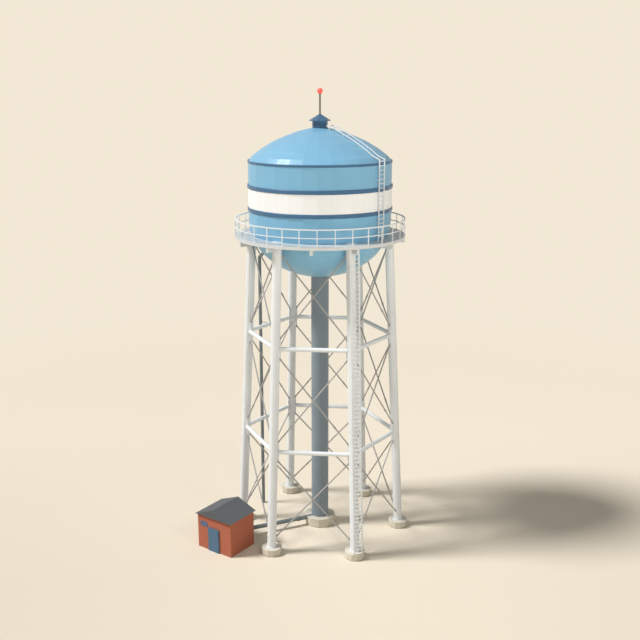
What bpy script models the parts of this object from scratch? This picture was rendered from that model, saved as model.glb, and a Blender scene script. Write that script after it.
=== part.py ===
"""Elevated water tank on six braced legs, with the small valve house that feeds it.

Units are metres and +Z is up. The origin is on the ground, on the axis of the tank.
Azimuths are degrees from +X, anticlockwise seen from above.
"""
import math

import bmesh
import bpy
import numpy
from mathutils import Matrix, Vector

# Air left between pieces that bear on each other
GAP = 0.0003

# Legs, their footings and the bracing between them
LEG_AZIMUTHS = (-90.0, -30.0, 30.0, 90.0, 150.0, 210.0)
LEG_HALF_STEP = 30.0
LEG_SPREAD = 6.502
LEG_LEAN = 0.049
LEG_RADIUS = 0.35
LEG_SIDES = 12
LEG_HEAD_RADIUS = 0.40
LEG_HEAD_HEIGHT = 0.06
FOOTING_RADIUS = 0.785
FOOTING_HEIGHT = 0.55
FOOTING_SIDES = 12
FOOTING_TURN = 15.0
STRUT_LEVELS = (8.30, 16.37)
STRUT_RADIUS = 0.17
STRUT_SIDES = 8
ROD_RADIUS = 0.055
ROD_SIDES = 6
ROD_OFFSET = 0.33
ROD_SHIFT = 0.02
ROD_FOOT = 1.0
ROD_HEAD = 23.75
PLATE_THICKNESS = 0.03
PLATE_OUTLINE = (
    (0.30, -0.80),
    (0.41, -0.80),
    (0.44, -0.20),
    (0.44, 0.20),
    (0.41, 0.80),
    (0.30, 0.80),
)

# Riser pipe under the tank
RISER_RADIUS = 0.69
RISER_WALL = 0.012
RISER_SIDES = 32
RISER_FOOTING_RADIUS = 1.25
RISER_FOOTING_HEIGHT = 0.73
RISER_FOOTING_SIDES = 12

# Tank shell
TANK_RADIUS = 5.44
TANK_SIDES = 32
TANK_PLATE = 0.014
WALL_FOOT = 25.40
WALL_HEAD = 29.81
WALL_PLATES = 4
BOWL_DEPTH = 4.40
BOWL_MOUTH_RADIUS = 0.68
BOWL_STEPS = 9
# Roof outline as radius and rise above the head of the wall
ROOF_OUTLINE = (
    (5.44, 0.00),
    (5.08, 0.42),
    (4.38, 0.94),
    (3.49, 1.46),
    (2.58, 1.85),
    (1.70, 2.17),
    (0.85, 2.38),
    (0.62, 2.42),
    (0.45, 2.42),
)
BAND_LEVELS = {"lower_band": 26.29, "upper_band": 27.98}
BAND_HEIGHT = 0.30
BAND_REACH = 0.09
BAND_ROUNDING = 0.04
BELT_REACH = 0.035
EAVE_HEIGHT = 0.18
EAVE_REACH = 0.04
EAVE_ROUNDING = 0.02

# Vent, mast and warning light on the roof
VENT_RADIUS = 0.574
VENT_HEAD = 32.75
VENT_SIDES = 10
CAP_RADIUS = 0.80
CAP_EDGE = 0.04
CAP_HEAD = 33.22
CAP_HEAD_RADIUS = 0.09
MAST_RADIUS = 0.065
MAST_SIDES = 8
LIGHT_RADIUS = 0.22
LIGHT_LEVEL = 34.92
LIGHT_SEAT = 0.06
LIGHT_STEPS = 6
LIGHT_SIDES = 16

# Balcony round the tank
DECK_RADIUS = 6.557
DECK_LEVEL = 24.28
DECK_PLATE = 0.06
RIM_DEPTH = 0.22
RIM_THICKNESS = 0.067
BEAM_COUNT = 12
BEAM_HALF_WIDTH = 0.10
BEAM_FOOT = 23.70
BEAM_ROOT = 4.90
BEAM_REACH = 6.505
RAIL_LINE = 6.50
TOP_RAIL = (25.51, 0.04)
MID_RAIL = (24.91, 0.03)
POST_COUNT = 32
POST_RADIUS = 0.038

# Ladders
RAIL_DEPTH = 0.07
RUNG_SIZE = 0.05
BRACKET_SIZE = 0.04
LEG_LADDER_AZIMUTH = -30.0
LEG_LADDER_STANDOFF = 0.60
LEG_LADDER_HALF_WIDTH = 0.34
LEG_LADDER_RAIL_WIDTH = 0.09
LEG_LADDER_RUNG_STEP = 0.32
LEG_LADDER_BRACKETS = (2.6, 6.6, 10.6, 14.6, 18.6, 22.6)
TANK_LADDER_AZIMUTH = -2.0
TANK_LADDER_LINE = 5.62
TANK_LADDER_HALF_WIDTH = 0.315
TANK_LADDER_RAIL_WIDTH = 0.06
TANK_LADDER_RUNG_STEP = 0.32
TANK_LADDER_BEND = 30.16
TANK_LADDER_BRACKETS = (25.60, 28.70)
# Rails over the roof, as distance from the axis and rise above the head of the wall
ROOF_RAIL_LINE = (
    (5.05, 0.56),
    (4.41, 1.00),
    (3.49, 1.52),
    (2.58, 1.97),
    (1.70, 2.38),
    (0.85, 2.62),
)
ROOF_RAIL_FEET = (4.1, 2.4, 1.15)

# Overflow pipe beside the tank, and supply pipe from the valve house
OVERFLOW_RADIUS = 0.14
OVERFLOW_SIDES = 10
OVERFLOW_LINE = -6.07
OVERFLOW_BEND = 21.80
OVERFLOW_RUN = 1.70
OVERFLOW_SLOPE = 0.92
SUPPLY_RADIUS = 0.175
SUPPLY_SIDES = 12
SUPPLY_LEVEL = 0.62
SUPPLY_ROOT = 0.50

# Valve house, by its outer wall faces
HOUSE_LEFT = -5.40
HOUSE_RIGHT = -2.03
HOUSE_FRONT = -8.95
HOUSE_BACK = -6.19
HOUSE_EAVES = 2.85
HOUSE_WALL = 0.20
HOUSE_FLOOR = 0.05
ROOF_RISE = 0.70
ROOF_HALF_WIDTH = 1.80
ROOF_HALF_LENGTH = 1.55
ROOF_DEPTH = 0.086
ROOF_CUT_DEPTH = 0.10
GABLE_THICKNESS = 0.25
DOORWAY_LEFT = -4.29
DOORWAY_RIGHT = -3.20
DOORWAY_HEAD = 1.96
FRAME_WIDTH = 0.06
FRAME_PROUD = 0.09
LEAF_THICKNESS = 0.05
LEAF_GAP = 0.006
LEAF_FOOT = 0.012
HINGE_LEVELS = (0.35, 1.50)
KNUCKLE_RADIUS = 0.014
KNUCKLE_HEIGHT = 0.07
KNUCKLE_PROUD = 0.001
PIN_RADIUS = 0.006
PIN_HEIGHT = 0.045
PIN_PLAY = 0.0015
HINGE_SIDES = 12
WING_WIDTH = 0.05
WING_DEPTH = 0.006
WING_INSET = 0.004
WINDOW_LEFT = -5.10
WINDOW_RIGHT = -4.40
WINDOW_SILL = 1.90
WINDOW_HEAD = 2.30
SASH_WIDTH = 0.05
SASH_PROUD = 0.02
SASH_DEPTH = 0.10
PANE_THICKNESS = 0.012
CUT_MARGIN = 0.05

SMOOTH_BELOW = 25.0
UP = Vector((0.0, 0.0, 1.0))

# Colour, roughness and metallic value of each finish
FINISHES = {
    "white_paint": ("#E5E6E4", 0.45, 0.0),
    "blue_paint": ("#8ABBDB", 0.35, 0.0),
    "navy_paint": ("#44668F", 0.40, 0.0),
    "belt_paint": ("#F6F4EE", 0.40, 0.0),
    "slate_paint": ("#72787D", 0.50, 0.0),
    "pipe_paint": ("#6A7478", 0.50, 0.0),
    "mast_steel": ("#7F817C", 0.40, 1.0),
    "red_lens": ("#FF6B5B", 0.25, 0.0),
    "concrete": ("#D8CFBF", 0.90, 0.0),
    "masonry_paint": ("#C5674A", 0.85, 0.0),
    "roof_sheet": ("#60666A", 0.60, 0.0),
    "door_paint": ("#56789B", 0.45, 0.0),
    "window_glass": ("#4F77A5", 0.15, 0.0),
}


def clear_scene():
    """Removes whatever the scene held before."""
    for item in list(bpy.data.objects):
        bpy.data.objects.remove(item, do_unlink=True)


def linear(level):
    """Turns one sRGB level from 0 to 1 into a linear one."""
    if level <= 0.04045:
        return level / 12.92
    return ((level + 0.055) / 1.055) ** 2.4


def make_material(name, code, roughness, metallic):
    """A plain painted or bare surface."""
    levels = [int(code[index:index + 2], 16) / 255.0 for index in (1, 3, 5)]
    material = bpy.data.materials.new(name)
    material.use_nodes = True
    shader = material.node_tree.nodes["Principled BSDF"]
    shader.inputs["Base Color"].default_value = [*map(linear, levels), 1.0]
    shader.inputs["Roughness"].default_value = roughness
    shader.inputs["Metallic"].default_value = metallic
    return material


def make_mesh(name, bm):
    """Closes a bmesh into a mesh whose faces point out."""
    bmesh.ops.recalc_face_normals(bm, faces=bm.faces)
    mesh = bpy.data.meshes.new(name)
    bm.to_mesh(mesh)
    bm.free()
    return mesh


def add_piece(name, mesh, finish, azimuth=0.0):
    """One named piece of its own material, turned about the tank's axis."""
    mesh.materials.clear()
    mesh.materials.append(make_material(name + "_" + finish, *FINISHES[finish]))
    mesh.shade_smooth()
    mesh.set_sharp_from_angle(angle=math.radians(SMOOTH_BELOW))
    piece = bpy.data.objects.new(name, mesh)
    piece.rotation_euler.z = math.radians(azimuth)
    bpy.context.scene.collection.objects.link(piece)
    return piece


def add_guide(name, bm):
    """A shape that only cuts or joins others, and isn't a piece itself."""
    guide = bpy.data.objects.new(name, make_mesh(name, bm))
    guide.hide_render = True
    guide.display_type = "WIRE"
    bpy.context.scene.collection.objects.link(guide)
    return guide


def combine(piece, operation, *guides):
    """Cuts guides out of a piece, or joins them on."""
    for guide in guides:
        modifier = piece.modifiers.new(guide.name, "BOOLEAN")
        modifier.operation = operation
        modifier.solver = "EXACT"
        modifier.object = guide


def settled_mesh(piece):
    """The mesh of a piece with its modifiers carried out."""
    bpy.context.view_layer.update()
    graph = bpy.context.evaluated_depsgraph_get()
    return bpy.data.meshes.new_from_object(piece.evaluated_get(graph))


def polar(radius, azimuth, height=0.0):
    """A point by its distance from the tank's axis, azimuth and height."""
    angle = math.radians(azimuth)
    return Vector((radius * math.cos(angle), radius * math.sin(angle), height))


def ring(radius, height, sides, turn=0.0, centre=Vector()):
    """A level regular polygon with its corners on the given radius."""
    step = 360.0 / sides
    return [polar(radius, turn + step * index, height) + centre for index in range(sides)]


def closed_loop(bm, points):
    """Edges that join a run of points into a ring."""
    corners = [bm.verts.new(point) for point in points]
    return [bm.edges.new((corner, corners[index - 1])) for index, corner in enumerate(corners)]


def loft(bm, rings):
    """Skins a run of equal rings and closes both ends flat."""
    loops = [closed_loop(bm, points) for points in rings]
    for low, high in zip(loops, loops[1:]):
        bmesh.ops.bridge_loops(bm, edges=low + high)
    for loop in (loops[0], loops[-1]):
        bmesh.ops.edgeloop_fill(bm, edges=loop)


def turned(bm, outline, sides):
    """Turns a closed outline of radius and height right round the tank's axis."""
    loop = closed_loop(bm, [(radius, 0.0, height) for radius, height in outline])
    corners = [edge.verts[0] for edge in loop]
    bmesh.ops.spin(bm, geom=[*corners, *loop], cent=(0.0, 0.0, 0.0), axis=UP,
                   angle=2.0 * math.pi, steps=sides, use_merge=True)


def stacked(bm, outline, sides, turn=0.0, centre=Vector()):
    """Stacks level polygons of radius and height into a solid with flat ends."""
    loft(bm, [ring(radius, height, sides, turn, centre) for radius, height in outline])


def box(bm, low, high):
    """A block between two opposite corners."""
    low = Vector(low)
    high = Vector(high)
    matrix = Matrix.LocRotScale((low + high) / 2.0, None, high - low)
    bmesh.ops.create_cube(bm, size=1.0, matrix=matrix)


def extruded(bm, outline, front, back):
    """Carries a closed outline of x and z from one y to another."""
    face = bm.faces.new([bm.verts.new((x, front, z)) for x, z in outline])
    pushed = bmesh.ops.extrude_face_region(bm, geom=[face])["geom"]
    corners = [item for item in pushed if isinstance(item, bmesh.types.BMVert)]
    bmesh.ops.translate(bm, verts=corners, vec=(0.0, back - front, 0.0))


def sweep(bm, section, points, end_normal=None):
    """Carries a section along a run of points, mitred at each bend."""
    rings = [section]
    for index in range(1, len(points)):
        along = (points[index] - points[index - 1]).normalized()
        if index < len(points) - 1:
            normal = (along + (points[index + 1] - points[index]).normalized()).normalized()
        else:
            normal = end_normal or along
        rings.append([corner + along * ((points[index] - corner).dot(normal) / along.dot(normal))
                      for corner in rings[-1]])
    loft(bm, rings)


def bar(bm, start, end, radius, sides, end_normal=None):
    """A straight bar between two points, its corners on the given radius."""
    turn = (end - start).to_track_quat("Z", "Y")
    section = [start + turn @ point for point in ring(radius, 0.0, sides, 180.0 / sides)]
    sweep(bm, section, [start, end], end_normal)


def rectangle(centre, half_depth, half_width):
    """A level rectangle about a point, its depth along X."""
    signs = ((-1, -1), (1, -1), (1, 1), (-1, 1))
    return [centre + Vector((half_depth * a, half_width * b, 0.0)) for a, b in signs]


def leg_line(height):
    """Distance of a leg's centre line from the tank's axis."""
    return LEG_SPREAD - LEG_LEAN * height


def leg_section(azimuth, radius, height):
    """Level section of a leg, its corners turned with its azimuth."""
    centre = polar(leg_line(height), azimuth)
    return ring(radius, height, LEG_SIDES, azimuth + FOOTING_TURN, centre)


def leg_guide():
    """All six legs, larger by the gap."""
    bm = bmesh.new()
    for azimuth in LEG_AZIMUTHS:
        heights = (0.0, DECK_LEVEL + LEG_HEAD_HEIGHT)
        loft(bm, [leg_section(azimuth, LEG_RADIUS + GAP, height) for height in heights])
    return add_guide("leg_clearance", bm)


def bowl_outline(inset):
    """Outline of the bowl from its mouth to the wall, moved in by an inset."""
    start = math.asin(BOWL_MOUTH_RADIUS / TANK_RADIUS)
    points = []
    for step in range(BOWL_STEPS + 1):
        angle = start + (math.pi / 2.0 - start) * step / BOWL_STEPS
        radius = (TANK_RADIUS - inset) * math.sin(angle)
        points.append((radius, WALL_FOOT - (BOWL_DEPTH - inset) * math.cos(angle)))
    return points


def bowl_radius(height):
    """Distance from the tank's axis to the bowl's corners at a height, with the gap."""
    radii, heights = zip(*bowl_outline(-GAP))
    return float(numpy.interp(height, heights, radii))


def roof_outline(inset):
    """Outline of the roof from its eaves to its crown, moved in by an inset."""
    points = [(TANK_RADIUS - inset, WALL_HEAD)]
    for radius, rise in ROOF_OUTLINE[1:]:
        points.append((radius * (TANK_RADIUS - inset) / TANK_RADIUS, WALL_HEAD + rise - inset))
    return points


def tank_guide():
    """The whole tank as one solid, larger by the gap."""
    bm = bmesh.new()
    stacked(bm, bowl_outline(-GAP) + roof_outline(-GAP), TANK_SIDES)
    return add_guide("tank_clearance", bm)


def make_footings():
    """Concrete footings, the middle one with a groove for the supply pipe."""
    bm = bmesh.new()
    outline = [(RISER_FOOTING_RADIUS, 0.0), (RISER_FOOTING_RADIUS, RISER_FOOTING_HEIGHT)]
    stacked(bm, outline, RISER_FOOTING_SIDES)
    middle = add_piece("riser_footing", make_mesh("riser_footing", bm), "concrete")
    combine(middle, "DIFFERENCE", bpy.data.objects["supply_clearance"])
    centre = polar(leg_line(FOOTING_HEIGHT), 0.0)
    for number, azimuth in enumerate(LEG_AZIMUTHS, start=1):
        bm = bmesh.new()
        outline = [(FOOTING_RADIUS, 0.0), (FOOTING_RADIUS, FOOTING_HEIGHT)]
        stacked(bm, outline, FOOTING_SIDES, FOOTING_TURN, centre)
        name = f"leg_footing_{number}"
        add_piece(name, make_mesh(name, bm), "concrete", azimuth)


def make_legs():
    """Raking tubular legs, each with a low head above the deck that hugs the tank."""
    head = DECK_LEVEL + GAP
    steps = [
        (LEG_RADIUS, FOOTING_HEIGHT + GAP),
        (LEG_RADIUS, head),
        (LEG_HEAD_RADIUS, head),
        (LEG_HEAD_RADIUS, head + LEG_HEAD_HEIGHT),
    ]
    for number, azimuth in enumerate(LEG_AZIMUTHS, start=1):
        bm = bmesh.new()
        loft(bm, [leg_section(0.0, radius, height) for radius, height in steps])
        name = f"leg_{number}"
        leg = add_piece(name, make_mesh(name, bm), "white_paint", azimuth)
        combine(leg, "DIFFERENCE", bpy.data.objects["tank_clearance"])


def side_point(side, height):
    """A point on the centre line of the leg at one side of a tower face."""
    return polar(leg_line(height), side * LEG_HALF_STEP, height)


def strut_bars(bm):
    """Level struts between two legs."""
    for level in STRUT_LEVELS:
        bar(bm, side_point(-1, level), side_point(1, level), STRUT_RADIUS, STRUT_SIDES)


def rod_bars(bm, side):
    """The rods of one slope, one above the other, in front of those of the other slope or behind."""
    feet = [ROD_FOOT] + [level + ROD_OFFSET for level in STRUT_LEVELS]
    heads = [level - ROD_OFFSET for level in STRUT_LEVELS] + [ROD_HEAD]
    aside = Vector((side * ROD_SHIFT, 0.0, 0.0))
    for foot, head in zip(feet, heads):
        start = side_point(side, foot) + aside
        bar(bm, start, side_point(-side, head) + aside, ROD_RADIUS, ROD_SIDES)


def corner_plates(bm):
    """Upright plates that hold the strut and the rods at each leg."""
    thickness = Vector((PLATE_THICKNESS / 2.0, 0.0, 0.0))
    for level in STRUT_LEVELS:
        for side in (-1, 1):
            outline = []
            for reach, rise in PLATE_OUTLINE:
                point = side_point(side, level + rise)
                outline.append(point - Vector((0.0, side * reach, 0.0)))
            loft(bm, [[point - thickness for point in outline],
                      [point + thickness for point in outline]])


def make_bracing():
    """Struts, crossed rods and corner plates, one lattice for each tower face."""
    bm = bmesh.new()
    strut_bars(bm)
    pattern = add_guide("bracing_pattern", bm)
    bm = bmesh.new()
    corner_plates(bm)
    combine(pattern, "UNION", add_guide("corner_plates", bm))
    for name, side in (("rising_rods", -1), ("falling_rods", 1)):
        bm = bmesh.new()
        rod_bars(bm, side)
        combine(pattern, "UNION", add_guide(name, bm))
    for number, azimuth in enumerate(LEG_AZIMUTHS, start=1):
        mesh = settled_mesh(pattern)
        name = f"side_bracing_{number}"
        side = add_piece(name, mesh, "white_paint", azimuth + LEG_HALF_STEP)
        combine(side, "DIFFERENCE", bpy.data.objects["leg_clearance"])


def make_riser():
    """Wide pipe from the middle footing up to the mouth of the bowl."""
    foot = RISER_FOOTING_HEIGHT + GAP
    head = bowl_outline(0.0)[0][1] - GAP
    inner = RISER_RADIUS - RISER_WALL
    bm = bmesh.new()
    outline = [(inner, foot), (RISER_RADIUS, foot), (RISER_RADIUS, head), (inner, head)]
    turned(bm, outline, RISER_SIDES)
    add_piece("riser_pipe", make_mesh("riser_pipe", bm), "slate_paint")


def make_tank_shell():
    """Bowl, wall plates and domed roof of the tank."""
    bm = bmesh.new()
    turned(bm, bowl_outline(0.0) + bowl_outline(TANK_PLATE)[::-1], TANK_SIDES)
    add_piece("tank_bowl", make_mesh("tank_bowl", bm), "blue_paint")
    bm = bmesh.new()
    turned(bm, roof_outline(0.0) + roof_outline(TANK_PLATE)[::-1], TANK_SIDES)
    add_piece("tank_roof", make_mesh("tank_roof", bm), "blue_paint")
    facets = TANK_SIDES // WALL_PLATES
    seam = math.degrees(GAP / 2.0 / TANK_RADIUS)
    inner = TANK_RADIUS - TANK_PLATE
    foot = WALL_FOOT + GAP
    head = WALL_HEAD - GAP
    outline = [(inner, foot), (TANK_RADIUS, foot), (TANK_RADIUS, head), (inner, head)]
    for number in range(WALL_PLATES):
        azimuths = [360.0 / TANK_SIDES * (number * facets + step) for step in range(facets + 1)]
        # An open seam between this plate and each neighbour
        azimuths[0] += seam
        azimuths[-1] -= seam
        bm = bmesh.new()
        loft(bm, [[polar(radius, azimuth, height) for radius, height in outline]
                  for azimuth in azimuths])
        name = f"tank_wall_{number + 1}"
        add_piece(name, make_mesh(name, bm), "blue_paint")


def hoop(bm, foot, head, reach, rounding):
    """A hoop on the tank's wall, its outer corners cut off by the rounding."""
    inner = TANK_RADIUS + GAP
    outer = TANK_RADIUS + reach
    outline = [
        (inner, foot),
        (outer - rounding, foot),
        (outer, foot + rounding),
        (outer, head - rounding),
        (outer - rounding, head),
        (inner, head),
    ]
    turned(bm, outline, TANK_SIDES)


def make_hoops():
    """Navy hoops and the white belt between the two broad ones."""
    half = BAND_HEIGHT / 2.0
    for name, level in BAND_LEVELS.items():
        bm = bmesh.new()
        hoop(bm, level - half, level + half, BAND_REACH, BAND_ROUNDING)
        add_piece(name, make_mesh(name, bm), "navy_paint")
    bm = bmesh.new()
    hoop(bm, WALL_HEAD - EAVE_HEIGHT / 2.0, WALL_HEAD + EAVE_HEIGHT / 2.0, EAVE_REACH, EAVE_ROUNDING)
    add_piece("eave_ring", make_mesh("eave_ring", bm), "navy_paint")
    foot = BAND_LEVELS["lower_band"] + half + GAP
    head = BAND_LEVELS["upper_band"] - half - GAP
    inner = TANK_RADIUS + GAP
    outer = TANK_RADIUS + BELT_REACH
    bm = bmesh.new()
    turned(bm, [(inner, foot), (outer, foot), (outer, head), (inner, head)], TANK_SIDES)
    add_piece("white_belt", make_mesh("white_belt", bm), "belt_paint")


def make_roof_fittings():
    """Vent with its conical cap, and the mast with its warning light."""
    crown = WALL_HEAD + ROOF_OUTLINE[-1][1]
    bm = bmesh.new()
    stacked(bm, [(VENT_RADIUS, crown + GAP), (VENT_RADIUS, VENT_HEAD)], VENT_SIDES)
    add_piece("roof_vent", make_mesh("roof_vent", bm), "navy_paint")
    bm = bmesh.new()
    foot = VENT_HEAD + GAP
    stacked(bm, [(CAP_RADIUS, foot), (CAP_RADIUS, foot + CAP_EDGE), (CAP_HEAD_RADIUS, CAP_HEAD)],
            VENT_SIDES)
    add_piece("vent_cap", make_mesh("vent_cap", bm), "navy_paint")
    seat = math.asin(LIGHT_SEAT / LIGHT_RADIUS)
    outline = []
    for step in range(LIGHT_STEPS + 1):
        angle = seat + (math.pi - 2.0 * seat) * step / LIGHT_STEPS
        outline.append((LIGHT_RADIUS * math.sin(angle), LIGHT_LEVEL - LIGHT_RADIUS * math.cos(angle)))
    bm = bmesh.new()
    stacked(bm, outline, LIGHT_SIDES)
    add_piece("warning_light", make_mesh("warning_light", bm), "red_lens")
    bm = bmesh.new()
    stacked(bm, [(MAST_RADIUS, CAP_HEAD + GAP), (MAST_RADIUS, outline[0][1] - GAP)], MAST_SIDES)
    add_piece("mast", make_mesh("mast", bm), "mast_steel")


def make_deck():
    """Ring deck with its rim and the twelve beams under it."""
    plate = DECK_LEVEL - DECK_PLATE
    rim = DECK_RADIUS - RIM_THICKNESS
    outline = [
        (bowl_radius(plate), plate),
        (rim, plate),
        (rim, DECK_LEVEL - RIM_DEPTH),
        (DECK_RADIUS, DECK_LEVEL - RIM_DEPTH),
        (DECK_RADIUS, DECK_LEVEL),
        (bowl_radius(DECK_LEVEL), DECK_LEVEL),
    ]
    bm = bmesh.new()
    turned(bm, outline, TANK_SIDES)
    deck = add_piece("balcony_deck", make_mesh("balcony_deck", bm), "white_paint")
    bm = bmesh.new()
    head = plate + DECK_PLATE / 2.0
    turn = Matrix.Rotation(math.radians(LEG_HALF_STEP), 3, UP)
    for index in range(BEAM_COUNT):
        # Beams stand out from the tank and from the legs in turn
        root = BEAM_ROOT if index % 2 == 0 else leg_line(BEAM_FOOT)
        box(bm, (root, -BEAM_HALF_WIDTH, BEAM_FOOT), (BEAM_REACH, BEAM_HALF_WIDTH, head))
        bmesh.ops.rotate(bm, verts=bm.verts, matrix=turn)
    beams = add_guide("deck_beams", bm)
    combine(beams, "DIFFERENCE", bpy.data.objects["tank_clearance"])
    combine(deck, "UNION", beams)
    combine(deck, "DIFFERENCE", bpy.data.objects["leg_clearance"])


def make_railing():
    """Two rails round the balcony on upright posts."""
    bm = bmesh.new()
    for level, half in (TOP_RAIL, MID_RAIL):
        outline = [
            (RAIL_LINE - half, level - half),
            (RAIL_LINE + half, level - half),
            (RAIL_LINE + half, level + half),
            (RAIL_LINE - half, level + half),
        ]
        turned(bm, outline, POST_COUNT)
    railing = add_piece("balcony_railing", make_mesh("balcony_railing", bm), "white_paint")
    bm = bmesh.new()
    for index in range(POST_COUNT):
        azimuth = 360.0 * index / POST_COUNT
        outline = [(POST_RADIUS, DECK_LEVEL + GAP), (POST_RADIUS, TOP_RAIL[0])]
        stacked(bm, outline, 4, azimuth + 45.0, polar(RAIL_LINE, azimuth))
    combine(railing, "UNION", add_guide("railing_posts", bm))


def rungs(bm, levels, half_width, line):
    """Level rungs at the given heights, on a line that gives each one's distance."""
    half = RUNG_SIZE / 2.0
    for level in levels:
        distance = line(level)
        box(bm, (distance - half, -half_width, level - half), (distance + half, half_width, level + half))


def spaced(low, high, step):
    """Heights from low to high at a fixed step."""
    return [low + step * index for index in range(int((high - low) / step) + 1)]


def make_leg_ladder():
    """Ladder up the outer side of one leg, from its footing to the deck."""
    half_width = LEG_LADDER_HALF_WIDTH
    half = BRACKET_SIZE / 2.0

    def line(height):
        return leg_line(height) + LEG_LADDER_STANDOFF

    foot = FOOTING_HEIGHT + GAP
    head = DECK_LEVEL - DECK_PLATE - GAP
    bm = bmesh.new()
    for side in (-1, 1):
        points = [Vector((line(height), side * half_width, height)) for height in (foot, head)]
        section = rectangle(points[0], RAIL_DEPTH / 2.0, LEG_LADDER_RAIL_WIDTH / 2.0)
        sweep(bm, section, points, UP)
    ladder = add_piece("leg_ladder", make_mesh("leg_ladder", bm), "white_paint", LEG_LADDER_AZIMUTH)
    bm = bmesh.new()
    levels = spaced(foot + LEG_LADDER_RUNG_STEP, BEAM_FOOT - RUNG_SIZE, LEG_LADDER_RUNG_STEP)
    rungs(bm, levels, half_width, line)
    steps = add_guide("leg_ladder_rungs", bm)
    bm = bmesh.new()
    for level in LEG_LADDER_BRACKETS:
        for side in (-1, 1):
            y = side * (half_width - BRACKET_SIZE)
            box(bm, (leg_line(level), y - half, level - half), (line(level), y + half, level + half))
    brackets = add_guide("leg_ladder_brackets", bm)
    for guide in (steps, brackets):
        guide.rotation_euler.z = math.radians(LEG_LADDER_AZIMUTH)
    combine(ladder, "UNION", steps, brackets)
    combine(ladder, "DIFFERENCE", bpy.data.objects["leg_clearance"])


def level_on(line, distance):
    """Height of the roof, or of the rails over it, at a distance from the tank's axis."""
    radii, rises = zip(*reversed(line))
    return WALL_HEAD + float(numpy.interp(distance, radii, rises))


def make_tank_ladder():
    """Ladder up the tank's wall, whose rails run on up the roof to the vent."""
    half_width = TANK_LADDER_HALF_WIDTH
    half = BRACKET_SIZE / 2.0
    foot = DECK_LEVEL + GAP
    path = [(TANK_LADDER_LINE, foot), (TANK_LADDER_LINE, TANK_LADDER_BEND)]
    path += [(distance, WALL_HEAD + rise) for distance, rise in ROOF_RAIL_LINE]
    bm = bmesh.new()
    for side in (-1, 1):
        points = [Vector((distance, side * half_width, height)) for distance, height in path]
        sweep(bm, rectangle(points[0], RAIL_DEPTH / 2.0, TANK_LADDER_RAIL_WIDTH / 2.0), points)
    mesh = make_mesh("tank_ladder", bm)
    ladder = add_piece("tank_ladder", mesh, "white_paint", TANK_LADDER_AZIMUTH)
    bm = bmesh.new()
    levels = spaced(foot + TANK_LADDER_RUNG_STEP, TANK_LADDER_BEND, TANK_LADDER_RUNG_STEP)
    rungs(bm, levels, half_width, lambda height: TANK_LADDER_LINE)
    steps = add_guide("tank_ladder_rungs", bm)
    bm = bmesh.new()
    for side in (-1, 1):
        y = side * half_width
        for level in TANK_LADDER_BRACKETS:
            low = (TANK_RADIUS - BRACKET_SIZE * 2.0, y - half, level - half)
            box(bm, low, (TANK_LADDER_LINE, y + half, level + half))
        for distance in ROOF_RAIL_FEET:
            low = (distance - half, y - half, level_on(ROOF_OUTLINE, distance) - BRACKET_SIZE * 2.0)
            box(bm, low, (distance + half, y + half, level_on(ROOF_RAIL_LINE, distance)))
    brackets = add_guide("tank_ladder_brackets", bm)
    for guide in (steps, brackets):
        guide.rotation_euler.z = math.radians(TANK_LADDER_AZIMUTH)
    combine(ladder, "UNION", steps, brackets)
    combine(ladder, "DIFFERENCE", bpy.data.objects["tank_clearance"])


def make_overflow_pipe():
    """Pipe from the upper part of the bowl down to the ground."""
    rise = OVERFLOW_RUN * OVERFLOW_SLOPE
    points = [
        Vector((OVERFLOW_LINE, 0.0, 0.0)),
        Vector((OVERFLOW_LINE, 0.0, OVERFLOW_BEND)),
        Vector((OVERFLOW_LINE + OVERFLOW_RUN, 0.0, OVERFLOW_BEND + rise)),
    ]
    bm = bmesh.new()
    turn = 180.0 / OVERFLOW_SIDES
    sweep(bm, ring(OVERFLOW_RADIUS, 0.0, OVERFLOW_SIDES, turn, points[0]), points)
    pipe = add_piece("overflow_pipe", make_mesh("overflow_pipe", bm), "pipe_paint")
    combine(pipe, "DIFFERENCE", bpy.data.objects["tank_clearance"])


def supply_end():
    """Centre of the supply pipe at the inner face of the house's back wall."""
    middle = (HOUSE_LEFT + HOUSE_RIGHT) / 2.0
    inner = HOUSE_BACK - HOUSE_WALL
    return Vector((middle * inner / HOUSE_BACK, inner, SUPPLY_LEVEL))


def supply_guide():
    """Room for the supply pipe through the wall and the middle footing."""
    end = supply_end()
    start = Vector((0.0, 0.0, SUPPLY_LEVEL))
    along = (end - start).normalized()
    bm = bmesh.new()
    bar(bm, start, end + along * HOUSE_WALL, SUPPLY_RADIUS + GAP, SUPPLY_SIDES)
    return add_guide("supply_clearance", bm)


def make_supply_pipe():
    """Pipe from the valve house to the riser, cut off square to the wall."""
    end = supply_end()
    start = Vector((0.0, 0.0, SUPPLY_LEVEL))
    start += (end - start).normalized() * SUPPLY_ROOT
    bm = bmesh.new()
    bar(bm, start, end, SUPPLY_RADIUS, SUPPLY_SIDES, Vector((0.0, 1.0, 0.0)))
    pipe = add_piece("supply_pipe", make_mesh("supply_pipe", bm), "pipe_paint")
    bm = bmesh.new()
    stacked(bm, [(RISER_RADIUS + GAP, 0.0), (RISER_RADIUS + GAP, HOUSE_EAVES)], RISER_SIDES)
    combine(pipe, "DIFFERENCE", add_guide("riser_clearance", bm))


def make_block(name, finish, low, high):
    """A plain block as a piece."""
    bm = bmesh.new()
    box(bm, low, high)
    return add_piece(name, make_mesh(name, bm), finish)


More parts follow.
